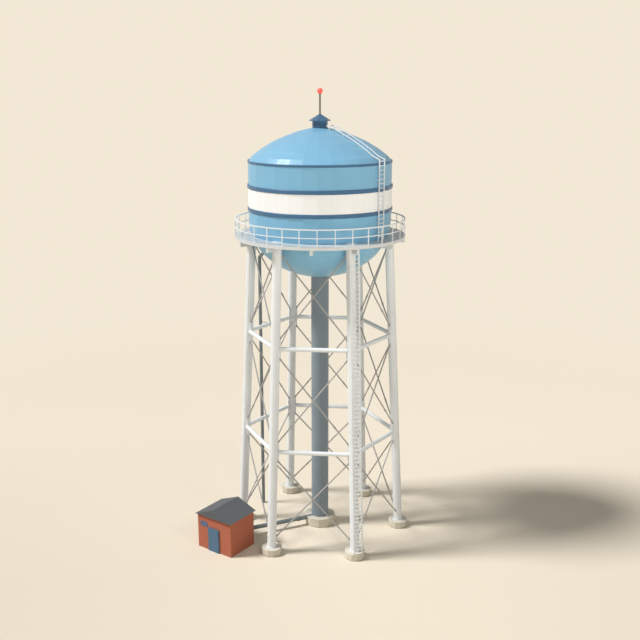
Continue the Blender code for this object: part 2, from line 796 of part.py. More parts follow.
def make_house_walls():
    """Floor and walls, the front one split beside and over its doorway."""
    left = HOUSE_LEFT + HOUSE_WALL
    right = HOUSE_RIGHT - HOUSE_WALL
    front = HOUSE_FRONT + HOUSE_WALL
    back = HOUSE_BACK - HOUSE_WALL
    head = HOUSE_EAVES - GAP
    make_block("house_floor", "concrete", (left + GAP, front + GAP, 0.0),
               (right - GAP, back - GAP, HOUSE_FLOOR))
    make_block("house_left_wall", "masonry_paint", (HOUSE_LEFT, front + GAP, 0.0),
               (left, back - GAP, head))
    make_block("house_right_wall", "masonry_paint", (right, front + GAP, 0.0),
               (HOUSE_RIGHT, back - GAP, head))
    rear = make_block("house_back_wall", "masonry_paint", (HOUSE_LEFT, back, 0.0),
                      (HOUSE_RIGHT, HOUSE_BACK, head))
    combine(rear, "DIFFERENCE", bpy.data.objects["supply_clearance"])
    beside = make_block("house_front_wall_left", "masonry_paint", (HOUSE_LEFT, HOUSE_FRONT, 0.0),
                        (DOORWAY_LEFT, front, head))
    bm = bmesh.new()
    box(bm, (WINDOW_LEFT, HOUSE_FRONT - CUT_MARGIN, WINDOW_SILL),
        (WINDOW_RIGHT, front + CUT_MARGIN, WINDOW_HEAD))
    combine(beside, "DIFFERENCE", add_guide("window_opening", bm))
    make_block("house_front_wall_right", "masonry_paint", (DOORWAY_RIGHT, HOUSE_FRONT, 0.0),
               (HOUSE_RIGHT, front, head))
    make_block("house_wall_over_door", "masonry_paint",
               (DOORWAY_LEFT + GAP, HOUSE_FRONT, DOORWAY_HEAD), (DOORWAY_RIGHT - GAP, front, head))


def make_house_roof():
    """Gabled roof, hollow beneath, that overhangs the walls."""
    middle = (HOUSE_LEFT + HOUSE_RIGHT) / 2.0
    centre = (HOUSE_FRONT + HOUSE_BACK) / 2.0
    bm = bmesh.new()
    outline = [
        (middle - ROOF_HALF_WIDTH, HOUSE_EAVES),
        (middle + ROOF_HALF_WIDTH, HOUSE_EAVES),
        (middle, HOUSE_EAVES + ROOF_RISE),
    ]
    extruded(bm, outline, centre - ROOF_HALF_LENGTH, centre + ROOF_HALF_LENGTH)
    roof = add_piece("house_roof", make_mesh("house_roof", bm), "roof_sheet")
    inner = ROOF_HALF_WIDTH * (1.0 - ROOF_DEPTH / ROOF_RISE)
    outline = [
        (middle - inner, HOUSE_EAVES - ROOF_CUT_DEPTH),
        (middle + inner, HOUSE_EAVES - ROOF_CUT_DEPTH),
        (middle + inner, HOUSE_EAVES),
        (middle, HOUSE_EAVES + ROOF_RISE - ROOF_DEPTH),
        (middle - inner, HOUSE_EAVES),
    ]
    reach = ROOF_HALF_LENGTH - GABLE_THICKNESS
    bm = bmesh.new()
    extruded(bm, outline, centre - reach, centre + reach)
    combine(roof, "DIFFERENCE", add_guide("roof_space", bm))


def hinge_centre():
    """Centre of the door's hinge pins, in front of the gap beside the leaf."""
    x = DOORWAY_RIGHT - GAP - FRAME_WIDTH - LEAF_GAP / 2.0
    y = HOUSE_FRONT - FRAME_PROUD - KNUCKLE_PROUD - KNUCKLE_RADIUS
    return Vector((x, y, 0.0))


def hinge_wings(bm, side, lift):
    """Plates that hold the knuckles, to the right or left of the pins."""
    face = HOUSE_FRONT - FRAME_PROUD
    ends = [hinge_centre().x + side * reach for reach in (KNUCKLE_RADIUS / 2.0, WING_WIDTH)]
    for level in HINGE_LEVELS:
        foot = level + lift + WING_INSET
        head = level + lift + KNUCKLE_HEIGHT - WING_INSET
        box(bm, (min(ends), face - WING_DEPTH, foot), (max(ends), face + WING_DEPTH / 2.0, head))


def make_door_frame():
    """Door lining that stands proud of the wall, with the lower hinge knuckles."""
    left = DOORWAY_LEFT + GAP
    right = DOORWAY_RIGHT - GAP
    head = DOORWAY_HEAD - GAP
    outline = [
        (left, 0.0),
        (left + FRAME_WIDTH, 0.0),
        (left + FRAME_WIDTH, head - FRAME_WIDTH),
        (right - FRAME_WIDTH, head - FRAME_WIDTH),
        (right - FRAME_WIDTH, 0.0),
        (right, 0.0),
        (right, head),
        (left, head),
    ]
    bm = bmesh.new()
    extruded(bm, outline, HOUSE_FRONT - FRAME_PROUD, HOUSE_FRONT + HOUSE_WALL)
    frame = add_piece("door_frame", make_mesh("door_frame", bm), "door_paint")
    bm = bmesh.new()
    hinge_wings(bm, 1, 0.0)
    wings = add_guide("frame_wings", bm)
    bm = bmesh.new()
    for level in HINGE_LEVELS:
        top = level + KNUCKLE_HEIGHT - GAP
        outline = [(KNUCKLE_RADIUS, level), (KNUCKLE_RADIUS, top), (PIN_RADIUS, top),
                   (PIN_RADIUS, top + PIN_HEIGHT)]
        stacked(bm, outline, HINGE_SIDES, 0.0, hinge_centre())
    combine(frame, "UNION", wings, add_guide("frame_knuckles", bm))


def make_door_leaf():
    """Door leaf, with its origin on the hinge line and bored knuckles over the pins."""
    centre = hinge_centre()
    front = HOUSE_FRONT - FRAME_PROUD
    left = DOORWAY_LEFT + GAP + FRAME_WIDTH + LEAF_GAP
    right = DOORWAY_RIGHT - GAP - FRAME_WIDTH - LEAF_GAP
    head = DOORWAY_HEAD - GAP - FRAME_WIDTH - LEAF_GAP
    bm = bmesh.new()
    box(bm, Vector((left, front, LEAF_FOOT)) - centre,
        Vector((right, front + LEAF_THICKNESS, head)) - centre)
    leaf = add_piece("door_leaf", make_mesh("door_leaf", bm), "door_paint")
    leaf.location = centre
    bm = bmesh.new()
    hinge_wings(bm, -1, KNUCKLE_HEIGHT)
    wings = add_guide("leaf_wings", bm)
    bm = bmesh.new()
    for level in HINGE_LEVELS:
        foot = level + KNUCKLE_HEIGHT
        outline = [(KNUCKLE_RADIUS, foot), (KNUCKLE_RADIUS, foot + KNUCKLE_HEIGHT)]
        stacked(bm, outline, HINGE_SIDES, 0.0, centre)
    knuckles = add_guide("leaf_knuckles", bm)
    bm = bmesh.new()
    for level in HINGE_LEVELS:
        foot = level + KNUCKLE_HEIGHT
        bore = PIN_RADIUS + PIN_PLAY
        outline = [(bore, foot - PIN_PLAY), (bore, foot + PIN_HEIGHT + PIN_PLAY)]
        stacked(bm, outline, HINGE_SIDES, 0.0, centre)
    combine(leaf, "UNION", wings, knuckles)
    combine(leaf, "DIFFERENCE", add_guide("leaf_bores", bm))


def make_window():
    """Fixed window high in the front wall."""
    front = HOUSE_FRONT - SASH_PROUD
    back = HOUSE_FRONT + SASH_DEPTH
    left = WINDOW_LEFT + GAP
    right = WINDOW_RIGHT - GAP
    sill = WINDOW_SILL + GAP
    head = WINDOW_HEAD - GAP
    frame = make_block("window_frame", "door_paint", (left, front, sill), (right, back, head))
    bm = bmesh.new()
    box(bm, (left + SASH_WIDTH, front - CUT_MARGIN, sill + SASH_WIDTH),
        (right - SASH_WIDTH, back + CUT_MARGIN, head - SASH_WIDTH))
    combine(frame, "DIFFERENCE", add_guide("sash_opening", bm))
    inset = SASH_WIDTH + GAP
    make_block("window_pane", "window_glass", (left + inset, HOUSE_FRONT, sill + inset),
               (right - inset, HOUSE_FRONT + PANE_THICKNESS, head - inset))


def main():
    clear_scene()
    leg_guide()
    tank_guide()
    supply_guide()
    make_footings()
    make_legs()
    make_bracing()
    make_riser()
    make_tank_shell()
    make_hoops()
    make_roof_fittings()
    make_deck()
    make_railing()
    make_leg_ladder()
    make_tank_ladder()
    make_overflow_pipe()
    make_supply_pipe()
    make_house_walls()
    make_house_roof()
    make_door_frame()
    make_door_leaf()
    make_window()


main()
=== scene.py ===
import math

import bmesh
import bpy
from mathutils import Euler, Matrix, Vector


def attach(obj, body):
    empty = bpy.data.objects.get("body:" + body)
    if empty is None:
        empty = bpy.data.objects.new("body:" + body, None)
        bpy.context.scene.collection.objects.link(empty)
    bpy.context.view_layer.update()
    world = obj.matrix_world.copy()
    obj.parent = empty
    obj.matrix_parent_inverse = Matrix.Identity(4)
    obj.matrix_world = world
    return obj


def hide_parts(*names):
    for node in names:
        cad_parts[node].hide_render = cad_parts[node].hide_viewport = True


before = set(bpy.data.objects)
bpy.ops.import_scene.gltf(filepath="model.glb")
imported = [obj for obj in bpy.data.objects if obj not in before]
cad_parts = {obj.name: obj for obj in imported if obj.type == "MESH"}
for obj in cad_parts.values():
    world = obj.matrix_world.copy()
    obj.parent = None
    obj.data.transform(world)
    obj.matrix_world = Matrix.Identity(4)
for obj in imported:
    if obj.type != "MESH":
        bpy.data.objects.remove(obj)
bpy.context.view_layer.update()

bl_info = {
    "name": "Water tower dressing",
    "version": (1, 0, 0),
    "blender": (4, 5, 0),
    "location": "View3D > Sidebar > Tower",
    "description": "Finishes and small fittings for an elevated water tank and its valve house",
    "category": "Object",
}

UP = Vector((0.0, 0.0, 1.0))

# Camera and light. An azimuth is in degrees from +X, anticlockwise seen from above
CAMERA_PLACE = (39.52, -55.32, 34.84)
CAMERA_TURN = 35.54
CAMERA_PITCH = 14.39
CAMERA_LENS = 50.0
CAMERA_REACH = 2000.0
SUN_AZIMUTH = 221.0
SUN_HEIGHT = 51.0
SOFTBOX_AZIMUTH = -28.0
SOFTBOX_DISTANCE = 30.0
SOFTBOX_HEIGHT = 28.0
SOFTBOX_AIM = (0.0, 0.0, 26.0)
BACKDROP_IN_GLOSS = 0.6
FLOOR_RADIUS = 600.0
FLOOR_SIDES = 96
FLOOR_LEVEL = -0.001
FLOOR_LIT_RADIUS = 45.0
FLOOR_FADE_RADIUS = 75.0
# Painted light on the floor: its colour grows lighter towards the back, along this azimuth and over this
# reach
FLOOR_PAINTED_LIGHT_AZIMUTH = 125.5
FLOOR_PAINTED_LIGHT_REACH = (-10.0, 20.0)
FLOOR_PAINTED_LIGHT_MOST = 1.10

# Legs and bracing
LEG_AZIMUTHS = (-90.0, -30.0, 30.0, 90.0, 150.0, 210.0)
HALF_SIDE = 30.0
LEG_SPREAD = 6.502
LEG_LEAN = 0.049
LEG_RADIUS = 0.35
LEG_SIDES = 12
LEG_WELDS = (5.2, 11.2, 14.2, 20.2)
FOOTING_HEIGHT = 0.55
STRUT_LEVELS = (8.30, 16.37)
STRUT_SIDES = 16
BAR_START_SHARE = 0.94
ROD_OFFSET = 0.33
ROD_SHIFT = 0.02
ROD_FOOT = 1.0
ROD_HEAD = 23.75
ROD_SIDES = 10
SLEEVE_REACH = (0.36, 0.72)
TURNBUCKLE_REACH = (2.2, 2.5)
PLATE_OUTLINE = (
    (0.30, -0.80), (0.41, -0.80), (0.44, -0.20), (0.44, 0.20), (0.41, 0.80), (0.30, 0.80))
PLATE_BOLTS = ((0.385, -0.68), (0.395, -0.36), (0.395, 0.36), (0.385, 0.68))
PLATE_NUT_LIFT = 0.6
BASE_PLATE_RADIUS = 0.43
BASE_PLATE_DEPTH = 0.03
BASE_PLATE_SIDES = 36
ANCHOR_LINE = 0.392
ANCHOR_COUNT = 10

# Nuts, weld beads and low round plates
NUT_HEIGHT_SHARE = 0.45
WASHER_RADIUS_SHARE = 0.68
WASHER_DEPTH_SHARE = 0.4
BEAD_SIDES = 6
HEAVY_WELD = 1.5
DISC_SIDES = 20
SMOOTH_BELOW = 50.0

# Tank
TANK_RADIUS = 5.44
TANK_SIDES = 32
WALL_FOOT = 25.40
WALL_HEAD = 29.81
BOWL_DEPTH = 4.40
BOWL_MOUTH_RADIUS = 0.68
BOWL_STEPS = 9
BOWL_WELD_STEP = 5
ROOF_OUTLINE = (
    (5.44, 0.00), (5.08, 0.42), (4.38, 0.94), (3.49, 1.46), (2.58, 1.85), (1.70, 2.17), (0.85, 2.38))
ROOF_WELD_STEP = 4
ROLLED_SHARE = 0.3
GORE_COUNT = 16
PLATES_IN_COURSE = 8.0
COURSE_HEIGHT = 2.30
VENT_RADIUS = 0.574
VENT_SIDES = 10
SLAT_LEVELS = (32.33, 32.42, 32.51, 32.60)
SLAT_WIDTH = 0.31
SLAT_THICKNESS = 0.008
SLAT_TILT = 0.5
CAP_RADIUS = 0.80
CAP_EDGE = 32.79
CAP_HEAD = 33.22
CAP_HEAD_RADIUS = 0.09
HIP_WIDTH = 0.02
MAST_FOOT_DEPTH = 0.05
MAST_FOOT_WIDTH = 0.17
LAMP_SEAT_LEVEL = 34.68
LAMP_SEAT_DEPTH = 0.035
LAMP_SEAT_WIDTH = 0.19

# Balcony and ladders
DECK_LEVEL = 24.28
POST_COUNT = 32
SHOE_LINE = 6.47
SHOE_SIZE = (0.09, 0.19, 0.012)
SHOE_NUT_TURN = 0.6
SHOE_NUT_LIFT = 0.014
SHOE_NUT_SHARE = 0.75
LEG_LADDER_AZIMUTH = -30.0
LEG_LADDER_STANDOFF = 0.60
LEG_LADDER_HALF_WIDTH = 0.34
TANK_LADDER_AZIMUTH = -2.0
TANK_LADDER_LINE = 5.62
TANK_LADDER_HALF_WIDTH = 0.315
LADDER_FOOT_SIZE = (0.12, 0.13, 0.012)

# Riser and pipes
RISER_RADIUS = 0.69
RISER_SIDES = 32
RISER_END_WELDS = (0.75, 21.00)
RISER_COURSE_FOOT = 3.10
RISER_COURSE_HEIGHT = 2.96
RISER_COURSES = 6
SUPPLY_LEVEL = 0.62
FLANGE_FROM_RISER = 1.9
FLANGE_FROM_HOUSE = 0.45
FLANGE_WIDTH = 0.44
FLANGE_SIDES = 32
FLANGE_SETBACK = 0.004
FLANGE_DEPTH = 0.028
FLANGE_NUTS = 8
FLANGE_NUT_LINE = 0.197
FLANGE_NUT_LIFT = 0.03
OVERFLOW_LINE = -6.07
OVERFLOW_RADIUS = 0.14
STAY_REACH = 0.14
STAY_WIDTH = 0.06
STAY_SIDES = 8
CLAMP_WIDTH = 0.035

# Valve house
HOUSE_MIDDLE = -3.715
HOUSE_FRONT = -8.95
HOUSE_BACK = -6.19
HOUSE_EAVES = 2.85
ROOF_RISE = 0.70
ROOF_HALF_WIDTH = 1.80
RIDGE_CAP_SIZE = (0.15, 3.10, 0.006)
RIDGE_CAP_REACH = 0.07
DOOR_FRONT = -9.04
LATCH_LINE = -4.11
LATCH_LEVEL = 1.02
LATCH_SIZE = (0.05, 0.006, 0.2)
LEVER_LEVEL = 1.05
LEVER_WIDTH = 0.02
LEVER_SIDES = 12
LEVER_PATH = ((0.0, 0.004), (0.0, 0.045), (0.012, 0.055), (0.12, 0.055))
FELT_WIDTH = 0.6
BOARD_WIDTH = 0.11
FORM_BOARD_DEPTH = 0.11


def numbered(name, count):
    """Names of the CAD nodes of one kind, which end in a number."""
    return [f"{name}_{number}" for number in range(1, count + 1)]


# CAD nodes by the finish that they carry
FINISHES = {
    "white": [*numbered("leg", 6), "balcony_railing", "leg_ladder", "tank_ladder"],
    "deck": ["balcony_deck"],
    "tank": ["tank_bowl", *numbered("tank_wall", 4), "tank_roof"],
    "band": ["lower_band", "upper_band", "eave_ring"],
    "vent": ["roof_vent", "vent_cap"],
    "belt": ["white_belt"],
    "riser": ["riser_pipe"],
    "pipe": ["supply_pipe", "overflow_pipe"],
    "mast": ["mast"],
    "lens": ["warning_light"],
    "concrete": ["riser_footing", *numbered("leg_footing", 6), "house_floor"],
    "wall": ["house_left_wall", "house_right_wall", "house_back_wall", "house_front_wall_left",
             "house_front_wall_right", "house_wall_over_door"],
    "roof": ["house_roof"],
    "door": ["door_frame", "door_leaf"],
    "sash": ["window_frame"],
    "glass": ["window_pane"],
}


def linear(code):
    """Turns an sRGB hex colour into a linear one."""
    levels = [int(code[index:index + 2], 16) / 255.0 for index in (1, 3, 5)]
    return tuple(level / 12.92 if level <= 0.04045 else ((level + 0.055) / 1.055) ** 2.4 for level in levels)


def colour(name):
    """One of the colours that a user can change, as linear values."""
    return tuple(getattr(bpy.context.scene.tower_colours, name))


def polar(radius, azimuth, height=0.0):
    """A point by its distance from the tank's axis, azimuth and height."""
    angle = math.radians(azimuth)
    return Vector((radius * math.cos(angle), radius * math.sin(angle), height))


def azimuths(count, first=0.0):
    """Azimuths of places spaced evenly round the tower."""
    return [first + 360.0 * index / count for index in range(count)]


def leg_line(height):
    """Distance of a leg's centre line from the tank's axis."""
    return LEG_SPREAD - LEG_LEAN * height


def add_node(tree, kind, inputs=(), **settings):
    """Adds a node with its settings. An input is a value, a socket, or a node for its first output."""
    node = tree.nodes.new(kind)
    for name, value in settings.items():
        setattr(node, name, value)
    named = inputs.items() if isinstance(inputs, dict) else enumerate(inputs)
    for name, value in named:
        socket = node.inputs[name]
        if isinstance(value, bpy.types.Node):
            value = value.outputs[0]
        if isinstance(value, bpy.types.NodeSocket):
            tree.links.new(value, socket)
        elif isinstance(value, tuple) and len(value) < len(socket.default_value):
            socket.default_value = (*value, 1.0)
        else:
            socket.default_value = value
    return node


def start_material(name, roughness, metallic=0.0):
    """An empty material with its shader, and the place of each point on the tower."""
    material = bpy.data.materials.new(name)
    material.use_nodes = True
    tree = material.node_tree
    tree.nodes.clear()
    shader = add_node(tree, "ShaderNodeBsdfPrincipled", {"Metallic": metallic, "Roughness": roughness})
    add_node(tree, "ShaderNodeOutputMaterial", {"Surface": shader})
    place = add_node(tree, "ShaderNodeTexCoord").outputs["Object"]
    return material, tree, shader, place


def coloured(tree, shader, tone):
    """Gives the surface its colour."""
    tree.links.new(tone, shader.inputs["Base Color"])


def patchy(tree, place, patch, detail, middle, spread):
    """A value that strays either way from its middle, over patches of a size in metres."""
    noise = add_node(tree, "ShaderNodeTexNoise", {"Vector": place, "Scale": 1.0 / patch, "Detail": detail})
    return add_node(tree, "ShaderNodeMapRange", {
        "Value": noise, "From Min": 0.3, "From Max": 0.7,
        "To Min": middle - spread, "To Max": middle + spread})


def drifting(tree, place, shade, patch, spread):
    """A tone that drifts up and down by a share over patches of a size in metres."""
    share = patchy(tree, place, patch, 3.0, 1.0, spread)
    return add_node(tree, "ShaderNodeVectorMath", {0: shade, "Scale": share}, operation="SCALE").outputs[0]


def worn_roughness(tree, place, shader, middle, spread, patch):
    """Gloss that varies a little over patches, as rain and hands leave it."""
    level = patchy(tree, place, patch, 4.0, middle, spread)
    tree.links.new(level.outputs[0], shader.inputs["Roughness"])


def stained(tree, below, above, value, span, shares):
    """One colour over another. Its share goes from the first to the last over a span of the value."""
    share = add_node(tree, "ShaderNodeMapRange", {
        "Value": value, "From Min": span[0], "From Max": span[1], "To Min": shares[0], "To Max": shares[1]})
    return add_node(tree, "ShaderNodeMix", {0: share, 6: below, 7: above}, data_type="RGBA").outputs[2]


def raised(tree, shader, height, depth):
    """Adds a height pattern to the surface, over whatever relief it has, in metres."""
    inputs = {"Height": height, "Distance": depth, "Strength": 1.0}
    before = shader.inputs["Normal"].links
    if before:
        inputs["Normal"] = before[0].from_socket
    bump = add_node(tree, "ShaderNodeBump", inputs)
    tree.links.new(bump.outputs[0], shader.inputs["Normal"])


def grained(tree, shader, place, scale, detail, depth):
    """Adds relief of noise, by how many features it has in a metre and how deep it is in metres."""
    noise = add_node(tree, "ShaderNodeTexNoise", {"Vector": place, "Scale": scale, "Detail": detail})
    raised(tree, shader, noise, depth)


def drawn_out(tree, place, scale, detail):
    """Noise that is stretched, by how many features it has in a metre along each axis."""
    stretched = add_node(tree, "ShaderNodeMapping", {"Vector": place, "Scale": scale})
    return add_node(tree, "ShaderNodeTexNoise", {"Vector": stretched, "Scale": 1.0, "Detail": detail})


def in_courses(tree, tone, face, size, joint, softness, shades):
    """A tone laid in staggered courses, each unit a shade of its own, and where the joints are."""
    darkest, lightest, between = shades
    units = add_node(tree, "ShaderNodeTexBrick", {
        "Vector": face, "Scale": 1.0, "Brick Width": size[0], "Row Height": size[1],
        "Color1": (darkest,) * 3, "Color2": (lightest,) * 3, "Mortar": (between,) * 3,
        "Mortar Size": joint, "Mortar Smooth": softness}, offset=0.5)
    laid = add_node(tree, "ShaderNodeVectorMath", (tone, units), operation="MULTIPLY")
    return laid.outputs[0], units.outputs[1]


def rolled_round(tree, place, shader, share):
    """Shades flat facets as plate rolled round the tank's axis, by a share from 0 to 1."""
    facet = add_node(tree, "ShaderNodeNewGeometry").outputs["True Normal"]
    level = add_node(tree, "ShaderNodeVectorMath", (place, (1.0, 1.0, 0.0)), operation="MULTIPLY")
    spoke = add_node(tree, "ShaderNodeVectorMath", (level,), operation="NORMALIZE")
    reach = add_node(tree, "ShaderNodeVectorMath", (facet, spoke), operation="DOT_PRODUCT").outputs["Value"]
    outward = add_node(tree, "ShaderNodeVectorMath", {0: spoke, "Scale": reach}, operation="SCALE")
    upward = add_node(tree, "ShaderNodeVectorMath", (facet, tuple(UP)), operation="MULTIPLY")
    both = add_node(tree, "ShaderNodeVectorMath", (outward, upward), operation="ADD")
    blend = add_node(tree, "ShaderNodeMix", {0: share, 4: facet, 5: both}, data_type="VECTOR")
    tree.links.new(blend.outputs[1], shader.inputs["Normal"])


def enamel(name, shade, roughness, roundness=0.0):
    """Alkyd enamel rolled onto primed steel: satin, with roller texture and faint marks of rain."""
    material, tree, shader, place = start_material(name, roughness)
    if roundness:
        rolled_round(tree, place, shader, roundness)
    tone = drifting(tree, place, shade, 1.6, 0.025)
    # Rain leaves upright streaks about 0.3 m wide and several metres long
    streaks = drawn_out(tree, place, (3.4, 3.4, 0.16), 4.0)
    tone = stained(tree, tone, (0.20, 0.18, 0.15), streaks, (0.52, 0.75), (0.0, 0.06))
    coloured(tree, shader, tone)
    worn_roughness(tree, place, shader, roughness, 0.06, 0.7)
    # Roller texture is about 2 mm across, and is drawn at 15 mm so that it shows
    grained(tree, shader, place, 66.0, 0.0, 0.00015)
    return material, tree, shader, place, tone


def round_tank(tree, place):
    """Unrolls the tank: distance round it, and height above the foot of its wall."""
    x, y, z = add_node(tree, "ShaderNodeSeparateXYZ", (place,)).outputs
    angle = add_node(tree, "ShaderNodeMath", (y, x), operation="ARCTAN2")
    along = add_node(tree, "ShaderNodeMath", (angle, TANK_RADIUS), operation="MULTIPLY")
    rise = add_node(tree, "ShaderNodeMath", (z, WALL_FOOT), operation="SUBTRACT")
    return add_node(tree, "ShaderNodeCombineXYZ", (along, rise))


def tank_enamel(name, shade, roughness):
    """Enamel over welded courses of plate, each plate a shade of its own and not quite flat."""
    material, tree, shader, place, tone = enamel(name, shade, roughness, ROLLED_SHARE)
    plate = (math.tau * TANK_RADIUS / PLATES_IN_COURSE, COURSE_HEIGHT)
    tone = in_courses(tree, tone, round_tank(tree, place), plate, 0.006, 0.3, (0.99, 1.01, 0.96))[0]
    coloured(tree, shader, tone)
    # Plate draws in by a few millimetres between its welds
    grained(tree, shader, place, 0.8, 1.0, 0.012)
    return material


def deck_enamel(name, shade, roughness):
    """Enamel on rolled chequer plate: raised lozenges on what faces up, which is also greyer, partly as a
    worn walk and partly as painted shade.
    """
    material, tree, shader, place, tone = enamel(name, shade, roughness)
    # Real lozenges are 30 mm apart, and are drawn at 110 mm so that they show
    turned = add_node(tree, "ShaderNodeMapping", {
        "Vector": place, "Rotation": (0.0, 0.0, 0.785), "Scale": (9.0, 9.0, 9.0)})
    lozenge = add_node(tree, "ShaderNodeTexChecker", {"Vector": turned, "Scale": 1.0}).outputs[1]
    facing = add_node(tree, "ShaderNodeNewGeometry").outputs["True Normal"]
    steepness = add_node(tree, "ShaderNodeSeparateXYZ", (facing,)).outputs[2]
    upward = add_node(tree, "ShaderNodeMath", (steepness, 0.9), operation="GREATER_THAN")
    tread = add_node(tree, "ShaderNodeMath", (lozenge, upward), operation="MULTIPLY")
    raised(tree, shader, tread, 0.002)
    # Painted shade and wear: what faces up is blended a quarter of the way towards a shaded grey
    coloured(tree, shader, stained(tree, tone, linear("#B9BCBB"), upward, (0.0, 1.0), (0.0, 0.25)))
    return material


def bare_steel(name, shade, roughness, metallic, spangle):
    """Hot-dip zinc on steel: dull grey, broken into crystals of a size in metres."""
    material, tree, shader, place = start_material(name, roughness, metallic)
    crystals = add_node(tree, "ShaderNodeTexVoronoi", {"Vector": place, "Scale": 1.0 / spangle})
    tint = add_node(tree, "ShaderNodeMapRange", {"Value": crystals, "To Min": 0.94, "To Max": 1.06})
    tone = add_node(tree, "ShaderNodeVectorMath", {0: shade, "Scale": tint}, operation="SCALE")
    coloured(tree, shader, drifting(tree, place, tone, 0.8, 0.05))
    worn_roughness(tree, place, shader, roughness, 0.08, 0.3)
    return material


def cast_concrete(name, shade):
    """Concrete cast in forms: chalky, pitted with air holes, with board marks and a damp foot."""
    material, tree, shader, place = start_material(name, 0.9)
    z = add_node(tree, "ShaderNodeSeparateXYZ", (place,)).outputs[2]
    pits = add_node(tree, "ShaderNodeTexVoronoi", {"Vector": place, "Scale": 22.0})
    tone = drifting(tree, place, shade, 0.35, 0.05)
    tone = stained(tree, tone, linear("#8F8676"), z, (0.02, 0.14), (0.35, 0.0))
    tone = stained(tree, tone, linear("#A3998A"), pits, (0.04, 0.14), (1.0, 0.0))
    coloured(tree, shader, tone)
    # The form boards leave a fine ridge at each joint. A wave of scale 1 has 20 radians in a metre
    boards = add_node(tree, "ShaderNodeTexWave", {
        "Vector": place, "Scale": math.tau / FORM_BOARD_DEPTH / 20.0, "Distortion": 0.4,
    }, bands_direction="Z", wave_profile="SAW")
    raised(tree, shader, boards.outputs[1], 0.003)
    grained(tree, shader, place, 90.0, 5.0, 0.002)
    return material


def painted_brick(name, shade):
    """Fair brickwork under masonry paint: 215 by 65 mm bricks, matte, with shallow joints."""
    material, tree, shader, place = start_material(name, 0.85)
    x, y, z = add_node(tree, "ShaderNodeSeparateXYZ", (place,)).outputs
    # On walls square to X or Y one of the two stays the same, so their sum runs along any wall
    along = add_node(tree, "ShaderNodeMath", (x, y), operation="ADD")
    face = add_node(tree, "ShaderNodeCombineXYZ", (along, z))
    tone = drifting(tree, place, shade, 0.9, 0.03)
    tone, joint = in_courses(tree, tone, face, (0.225, 0.075), 0.005, 0.2, (0.975, 1.025, 0.94))
    coloured(tree, shader, stained(tree, tone, linear("#8A7A66"), z, (0.0, 0.28), (0.16, 0.0)))
    brick = add_node(tree, "ShaderNodeMath", (1.0, joint), operation="SUBTRACT")
    raised(tree, shader, brick, 0.003)
    grained(tree, shader, place, 70.0, 4.0, 0.0015)
    return material


def mineral_felt(name, shade):
    """Mineral-faced roofing felt: matte, grained with slate chips, laid in lengths that lap."""
    material, tree, shader, place = start_material(name, 0.82)
    # Real slate chips are 1 mm across, and are drawn at 12 mm so that they show
    chips = add_node(tree, "ShaderNodeTexNoise", {"Vector": place, "Scale": 83.0, "Detail": 2.0})
    tone = drifting(tree, place, shade, 0.8, 0.04)
    coloured(tree, shader, stained(tree, tone, linear("#9A9A97"), chips, (0.5, 0.7), (0.0, 0.16)))
    raised(tree, shader, chips, 0.0006)
    # Lengths run along the house, and each laps 3 mm thick over the one below
    x = add_node(tree, "ShaderNodeSeparateXYZ", (place,)).outputs[0]
    reach = add_node(tree, "ShaderNodeMath", (x, HOUSE_MIDDLE), operation="SUBTRACT")
    down = add_node(tree, "ShaderNodeMath", (reach,), operation="ABSOLUTE")
    count = add_node(tree, "ShaderNodeMath", (down, FELT_WIDTH), operation="DIVIDE")
    lap = add_node(tree, "ShaderNodeMath", (count,), operation="FRACT")
    edge = add_node(tree, "ShaderNodeMapRange", {
        "Value": lap, "From Min": 0.95, "From Max": 1.0, "To Min": 1.0, "To Max": 0.0,
    }, interpolation_type="SMOOTHSTEP")
    raised(tree, shader, edge, 0.003)
    return material


def painted_boards(name, shade):
    """Gloss paint on upright tongued boards, with soft grain beneath."""
    material, tree, shader, place = start_material(name, 0.42)
    x = add_node(tree, "ShaderNodeSeparateXYZ", (place,)).outputs[0]
    count = add_node(tree, "ShaderNodeMath", (x, 1.0 / BOARD_WIDTH), operation="MULTIPLY")
    beat = add_node(tree, "ShaderNodeMath", (count, 0.5), operation="PINGPONG")
    board = add_node(tree, "ShaderNodeMapRange", {"Value": beat, "From Min": 0.0, "From Max": 0.06})
    tone = drifting(tree, place, shade, 0.5, 0.03)
    grooved = add_node(tree, "ShaderNodeMix", {0: board, 6: linear("#3F5A78"), 7: tone}, data_type="RGBA")
    coloured(tree, shader, grooved.outputs[2])
    raised(tree, shader, board, 0.003)
    raised(tree, shader, drawn_out(tree, place, (60.0, 60.0, 2.0), 3.0), 0.0008)
    return material


def tinted_glass(name, shade):
    """Tinted float glass over a dark room: glossy, and not quite flat."""
    material, tree, shader, place = start_material(name, 0.08)
    coloured(tree, shader, drifting(tree, place, shade, 0.3, 0.04))
    shader.inputs["IOR"].default_value = 1.52
    grained(tree, shader, place, 6.0, 1.0, 0.0008)
    return material


def moulded_lens(name, shade):
    """Moulded red polycarbonate with level prism ribs, lit from inside."""
    material, tree, shader, place = start_material(name, 0.5)
    coloured(tree, shader, drifting(tree, place, shade, 0.15, 0.03))
    shader.inputs["IOR"].default_value = 1.58
    shader.inputs["Emission Color"].default_value = (*shade, 1.0)
    shader.inputs["Emission Strength"].default_value = 0.35
    ribs = add_node(tree, "ShaderNodeTexWave", {"Vector": place, "Scale": 8.0}, bands_direction="Z")
    raised(tree, shader, ribs.outputs[1], 0.002)
    return material


def paint(name, use, code):
    """A colour that a user can change."""
    return bpy.props.FloatVectorProperty(
        name=name, description=use, subtype="COLOR", size=3, min=0.0, max=1.0, default=linear(code))


def measure(name, use, usual, least, most, unit="LENGTH"):
    """A length, angle or strength that a user can change."""
    return bpy.props.FloatProperty(
        name=name, description=use, default=usual, min=least, max=most, unit=unit)


